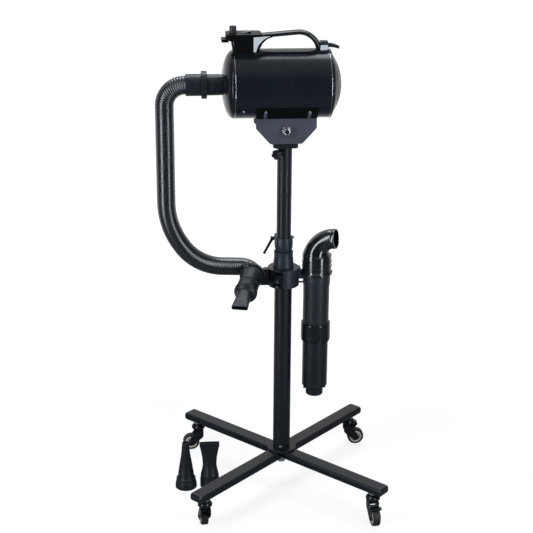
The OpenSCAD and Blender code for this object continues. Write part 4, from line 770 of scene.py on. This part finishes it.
def make_elbow():
    """Elbow of the air tube: flanged skirt with two beads and a bend that narrows to its mouth."""
    u = Vector((math.cos(ELBOW_TURN), math.sin(ELBOW_TURN), 0))
    v = Vector((-math.sin(ELBOW_TURN), math.cos(ELBOW_TURN), 0))

    def bend_at(a):
        """Centre of the bend at an angle, and the unit vector that points to its inner side there."""
        centre = ELBOW_FOOT + SKIRT_H * UP + BEND_R * ((1 - math.cos(a)) * u + math.sin(a) * UP)
        return centre, math.cos(a) * u - math.sin(a) * UP

    def bend_ring(i, start, stop):
        """Ring of the bend at a step; its radius goes from start to stop, quickly at first."""
        radius = start + (stop - start) * (1 - (1 - i / ELBOW_STEPS) ** 3)
        centre, side = bend_at(BEND_END * i / ELBOW_STEPS)
        return ring(centre, side, v, radius, ROUND_SIDES)

    profile = [(ELBOW_BORE, 0.0)] + [(ELBOW_R + over, h) for over, h in SKIRT_OUTLINE]
    for z in BEAD_Z:
        for i in range(BEAD_STEPS + 1):
            a = math.pi * i / BEAD_STEPS
            profile.append((ELBOW_R + BEAD_OUT * math.sin(a), z - BEAD_HALF * math.cos(a)))
    profile.append((ELBOW_R + SKIRT_TOP[0], SKIRT_TOP[1]))
    rings = [ring(ELBOW_FOOT + h * UP, u, v, radius, ROUND_SIDES) for radius, h in profile]
    rings += [bend_ring(i, ELBOW_R - BEND_IN, MOUTH_R) for i in range(ELBOW_STEPS + 1)]
    tip, side = bend_at(BEND_END)
    way = math.sin(BEND_END) * u + math.cos(BEND_END) * UP
    rings += [ring(tip + h * way, side, v, radius, ROUND_SIDES) for h, radius in LIP_OUTLINE]
    rings += [bend_ring(i, ELBOW_BORE + BORE_OUT, MOUTH_BORE + BORE_OUT) for i in range(ELBOW_STEPS, -1, -1)]
    elbow = Shape()
    elbow.loft(rings, loop=True)
    piece = elbow.piece("elbow_moulding", "elbow", "elbow")
    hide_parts("elbow")


def make_cone():
    """Cone nozzle: collar with a waist, then a long taper to a small round mouth."""
    cone = Shape()
    cone.turned(CONE_OUTLINE, CONE_AT, UP, ROUND_SIDES)
    piece = cone.piece("cone_moulding", "matte", "cone_nozzle")
    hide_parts("cone_nozzle")


def cap_ring(way, side, out, inset):
    """Rounded rectangle across a foot bar, out from the mast, drawn in by the inset."""
    points = []
    r = max(CAP_CORNER - inset * CAP_CORNER_SHRINK, CAP_CORNER_LEAST)
    for k, (p, q) in enumerate(((1, 1), (-1, 1), (-1, -1), (1, -1))):
        for i in range(CAP_STEPS + 1):
            b = math.radians(90 * k + 90 * i / CAP_STEPS)
            points.append(out * way + (p * (CAP_HALF_W - inset - r) + r * math.cos(b)) * side
                          + (q * (CAP_HALF_H - inset - r) + r * math.sin(b)) * UP + CAP_Z * UP)
    return points


def make_caps():
    """Moulded end caps of the foot bars, rounded over at their outer end."""
    levels = [(CAP_START + past, inset) for past, inset in CAP_ROOT]
    for i in range(CAP_STEPS + 1):
        b = math.pi / 2 * i / CAP_STEPS
        out = CAP_START + CAP_LENGTH - CAP_DOME + CAP_DOME * math.sin(b)
        levels.append((out, CAP_DOME * (1 - math.cos(b))))
    caps = Shape()
    for azimuth in CAP_AZIMUTHS:
        a = math.radians(azimuth)
        way = Vector((math.cos(a), math.sin(a), 0))
        side = Vector((-math.sin(a), math.cos(a), 0))
        caps.loft([cap_ring(way, side, out, inset) for out, inset in levels])
    piece = caps.piece("foot_caps", "cap", "stand")
    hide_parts("bar_end_caps")


def make_fasteners():
    """Screws of the cowl and of the rear ring, and the domed collar of the pivot's lock nut."""
    collar = Shape()
    collar.turned(NUT_COLLAR, NUT_FACE, (0, -1, 0), sides=64)
    collar.piece("pivot_nut_collar", "zinc", "head")
    end = Shape()
    end.turned(BOLT_END, NUT_FACE, (0, -1, 0), sides=48, loop=False)
    end.piece("pivot_bolt_end", "blued", "head")
    bright = Shape()
    for angle in COWL_SCREW_ANGLES:
        bright.screw(*on_shell(COWL_SCREW_X, angle), COWL_SCREW_R)
    bright.piece("cowl_screws", "zinc", "dryer")
    dark = Shape()
    for angle in RING_SCREW_ANGLES:
        dark.screw(*on_shell(RING_SCREW_X, angle, SHELL_R - RING_SCREW_SINK), RING_SCREW_R)
    dark.piece("ring_screws", "blued", "dryer")


# ---------------------------------------------------------------- stage and light

FLOOR_COLOUR = (0.24, 0.24, 0.24, 1)
FLOOR_HALF = 12
FLOOR_DROP = 0.0003
FLOOR_GLOW = 0.8  # glow near the object; it grows to 1 over the distances FLOOR_FADE
FLOOR_FADE = (0.6, 1.6)
FLOOR_MIRRORED = (0.2, 1.2)  # Y over which the floor comes to show in glossy surfaces
LAMP_COLOUR = (0.84, 0.93, 1.0)
AMBIENT = 0.28
DIM_SIDE = 0.04
BRIGHT_SIDE = 0.8
BEHIND_FADE = (0.0, 0.6)  # Y and Z of a direction over which the studio goes from dim to bright
ABOVE_FADE = (0.5, 0.95)


def seen_directly(nodes, ray):
    """1 for what the camera sees, also through glass, and 0 for reflections and light."""
    return nodes.math("MAXIMUM", ray.outputs["Is Camera Ray"], ray.outputs["Is Transmission Ray"])


def make_floor_material():
    material = bpy.data.materials.new("floor_white")
    material.use_nodes = True
    nodes = Nodes(material.node_tree)
    material.node_tree.nodes.clear()
    out = nodes.add("OutputMaterial")
    ray = nodes.add("LightPath")
    place = nodes.add("TexCoord").outputs["Object"]
    far = nodes.add("VectorMath", operation="LENGTH")
    nodes.join(place, far.inputs[0])
    split = nodes.add("SeparateXYZ")
    nodes.join(place, split.inputs[0])
    behind = nodes.spread(split.outputs["Y"], 0.0, 1.0, *FLOOR_MIRRORED)
    mirrored_floor = nodes.math("MULTIPLY", ray.outputs["Is Glossy Ray"], behind)
    seen = nodes.math("MAXIMUM", seen_directly(nodes, ray), mirrored_floor)
    diffuse = nodes.add("BsdfDiffuse")
    diffuse.inputs["Color"].default_value = FLOOR_COLOUR
    glow = nodes.add("Emission")
    glow.inputs["Color"].default_value = (1, 1, 1, 1)
    level = nodes.spread(far.outputs["Value"], FLOOR_GLOW, 1.0, *FLOOR_FADE)
    nodes.join(nodes.math("MULTIPLY", seen, level), glow.inputs["Strength"])
    both = nodes.add("AddShader")
    nodes.join(diffuse.outputs[0], both.inputs[0])
    nodes.join(glow.outputs[0], both.inputs[1])
    nodes.join(both.outputs[0], out.inputs["Surface"])
    return material


def make_stage():
    """Pale floor: it keeps the object's shadow, and further out it brightens into the backdrop."""
    mesh = bpy.data.meshes.new("floor")
    corners = [(x * FLOOR_HALF, y * FLOOR_HALF, 0) for x, y in ((-1, -1), (1, -1), (1, 1), (-1, 1))]
    mesh.from_pydata(corners, [], [(0, 1, 2, 3)])
    mesh.materials.append(make_floor_material())
    floor = bpy.data.objects.new("floor", mesh)
    floor.location.z = -FLOOR_DROP
    scene.collection.objects.link(floor)


def make_world():
    """White backdrop. Glossy surfaces see it behind and above the object, and a dim studio in front."""
    world = bpy.data.worlds.new("studio")
    world.use_nodes = True
    scene.world = world
    nodes = Nodes(world.node_tree)
    world.node_tree.nodes.clear()
    out = nodes.add("OutputWorld")
    back = nodes.add("Background")
    back.inputs["Color"].default_value = (1, 1, 1, 1)
    nodes.join(back.outputs[0], out.inputs["Surface"])
    ray = nodes.add("LightPath")
    direction = nodes.add("SeparateXYZ")
    nodes.join(nodes.add("TexCoord").outputs["Generated"], direction.inputs[0])
    behind = nodes.spread(direction.outputs["Y"], DIM_SIDE, BRIGHT_SIDE, *BEHIND_FADE)
    above = nodes.spread(direction.outputs["Z"], 0.0, BRIGHT_SIDE, *ABOVE_FADE)
    glossy = nodes.math("MULTIPLY", ray.outputs["Is Glossy Ray"], nodes.math("MAXIMUM", behind, above))
    diffuse = nodes.math("MULTIPLY", ray.outputs["Is Diffuse Ray"], AMBIENT)
    unseen = nodes.math("MAXIMUM", glossy, diffuse)
    nodes.join(nodes.math("MAXIMUM", seen_directly(nodes, ray), unseen), back.inputs["Strength"])


def make_lamp(name, place, aim, wide, high, radiance):
    """Soft box, its power worked out from the brightness of its face."""
    data = bpy.data.lights.new(name, "AREA")
    data.shape = "RECTANGLE"
    data.color = LAMP_COLOUR
    data.size, data.size_y = wide, high
    data.energy = radiance * math.pi * wide * high
    lamp = bpy.data.objects.new(name, data)
    scene.collection.objects.link(lamp)
    lamp.location = place
    lamp.rotation_mode = "QUATERNION"
    lamp.rotation_quaternion = (Vector(aim) - Vector(place)).to_track_quat("-Z", "Y")


def make_lights():
    make_lamp("left_box", place=(-1.16, -0.91, 1.18), aim=(0, 0, 1.1), wide=0.36, high=2.3, radiance=9.0)
    make_lamp("right_box", place=(0.88, -1.25, 1.18), aim=(0, 0, 1.1), wide=0.34, high=2.3, radiance=8.0)
    make_lamp("top_box", place=(0.1, 1.1, 3.0), aim=(0, 0, 0.75), wide=1.8, high=1.2, radiance=6.0)


# ---------------------------------------------------------------- the scene

scene.view_settings.view_transform = "Standard"
make_camera()
LOOK = make_materials()
make_hose()
for corner in CORNERS:
    make_wheel(corner)
make_grille()
make_seams()
make_saddle_bars()
make_cheeks()
make_elbow()
make_cone()
make_caps()
make_fasteners()
dress_nodes()
make_stage()
make_world()
make_lights()
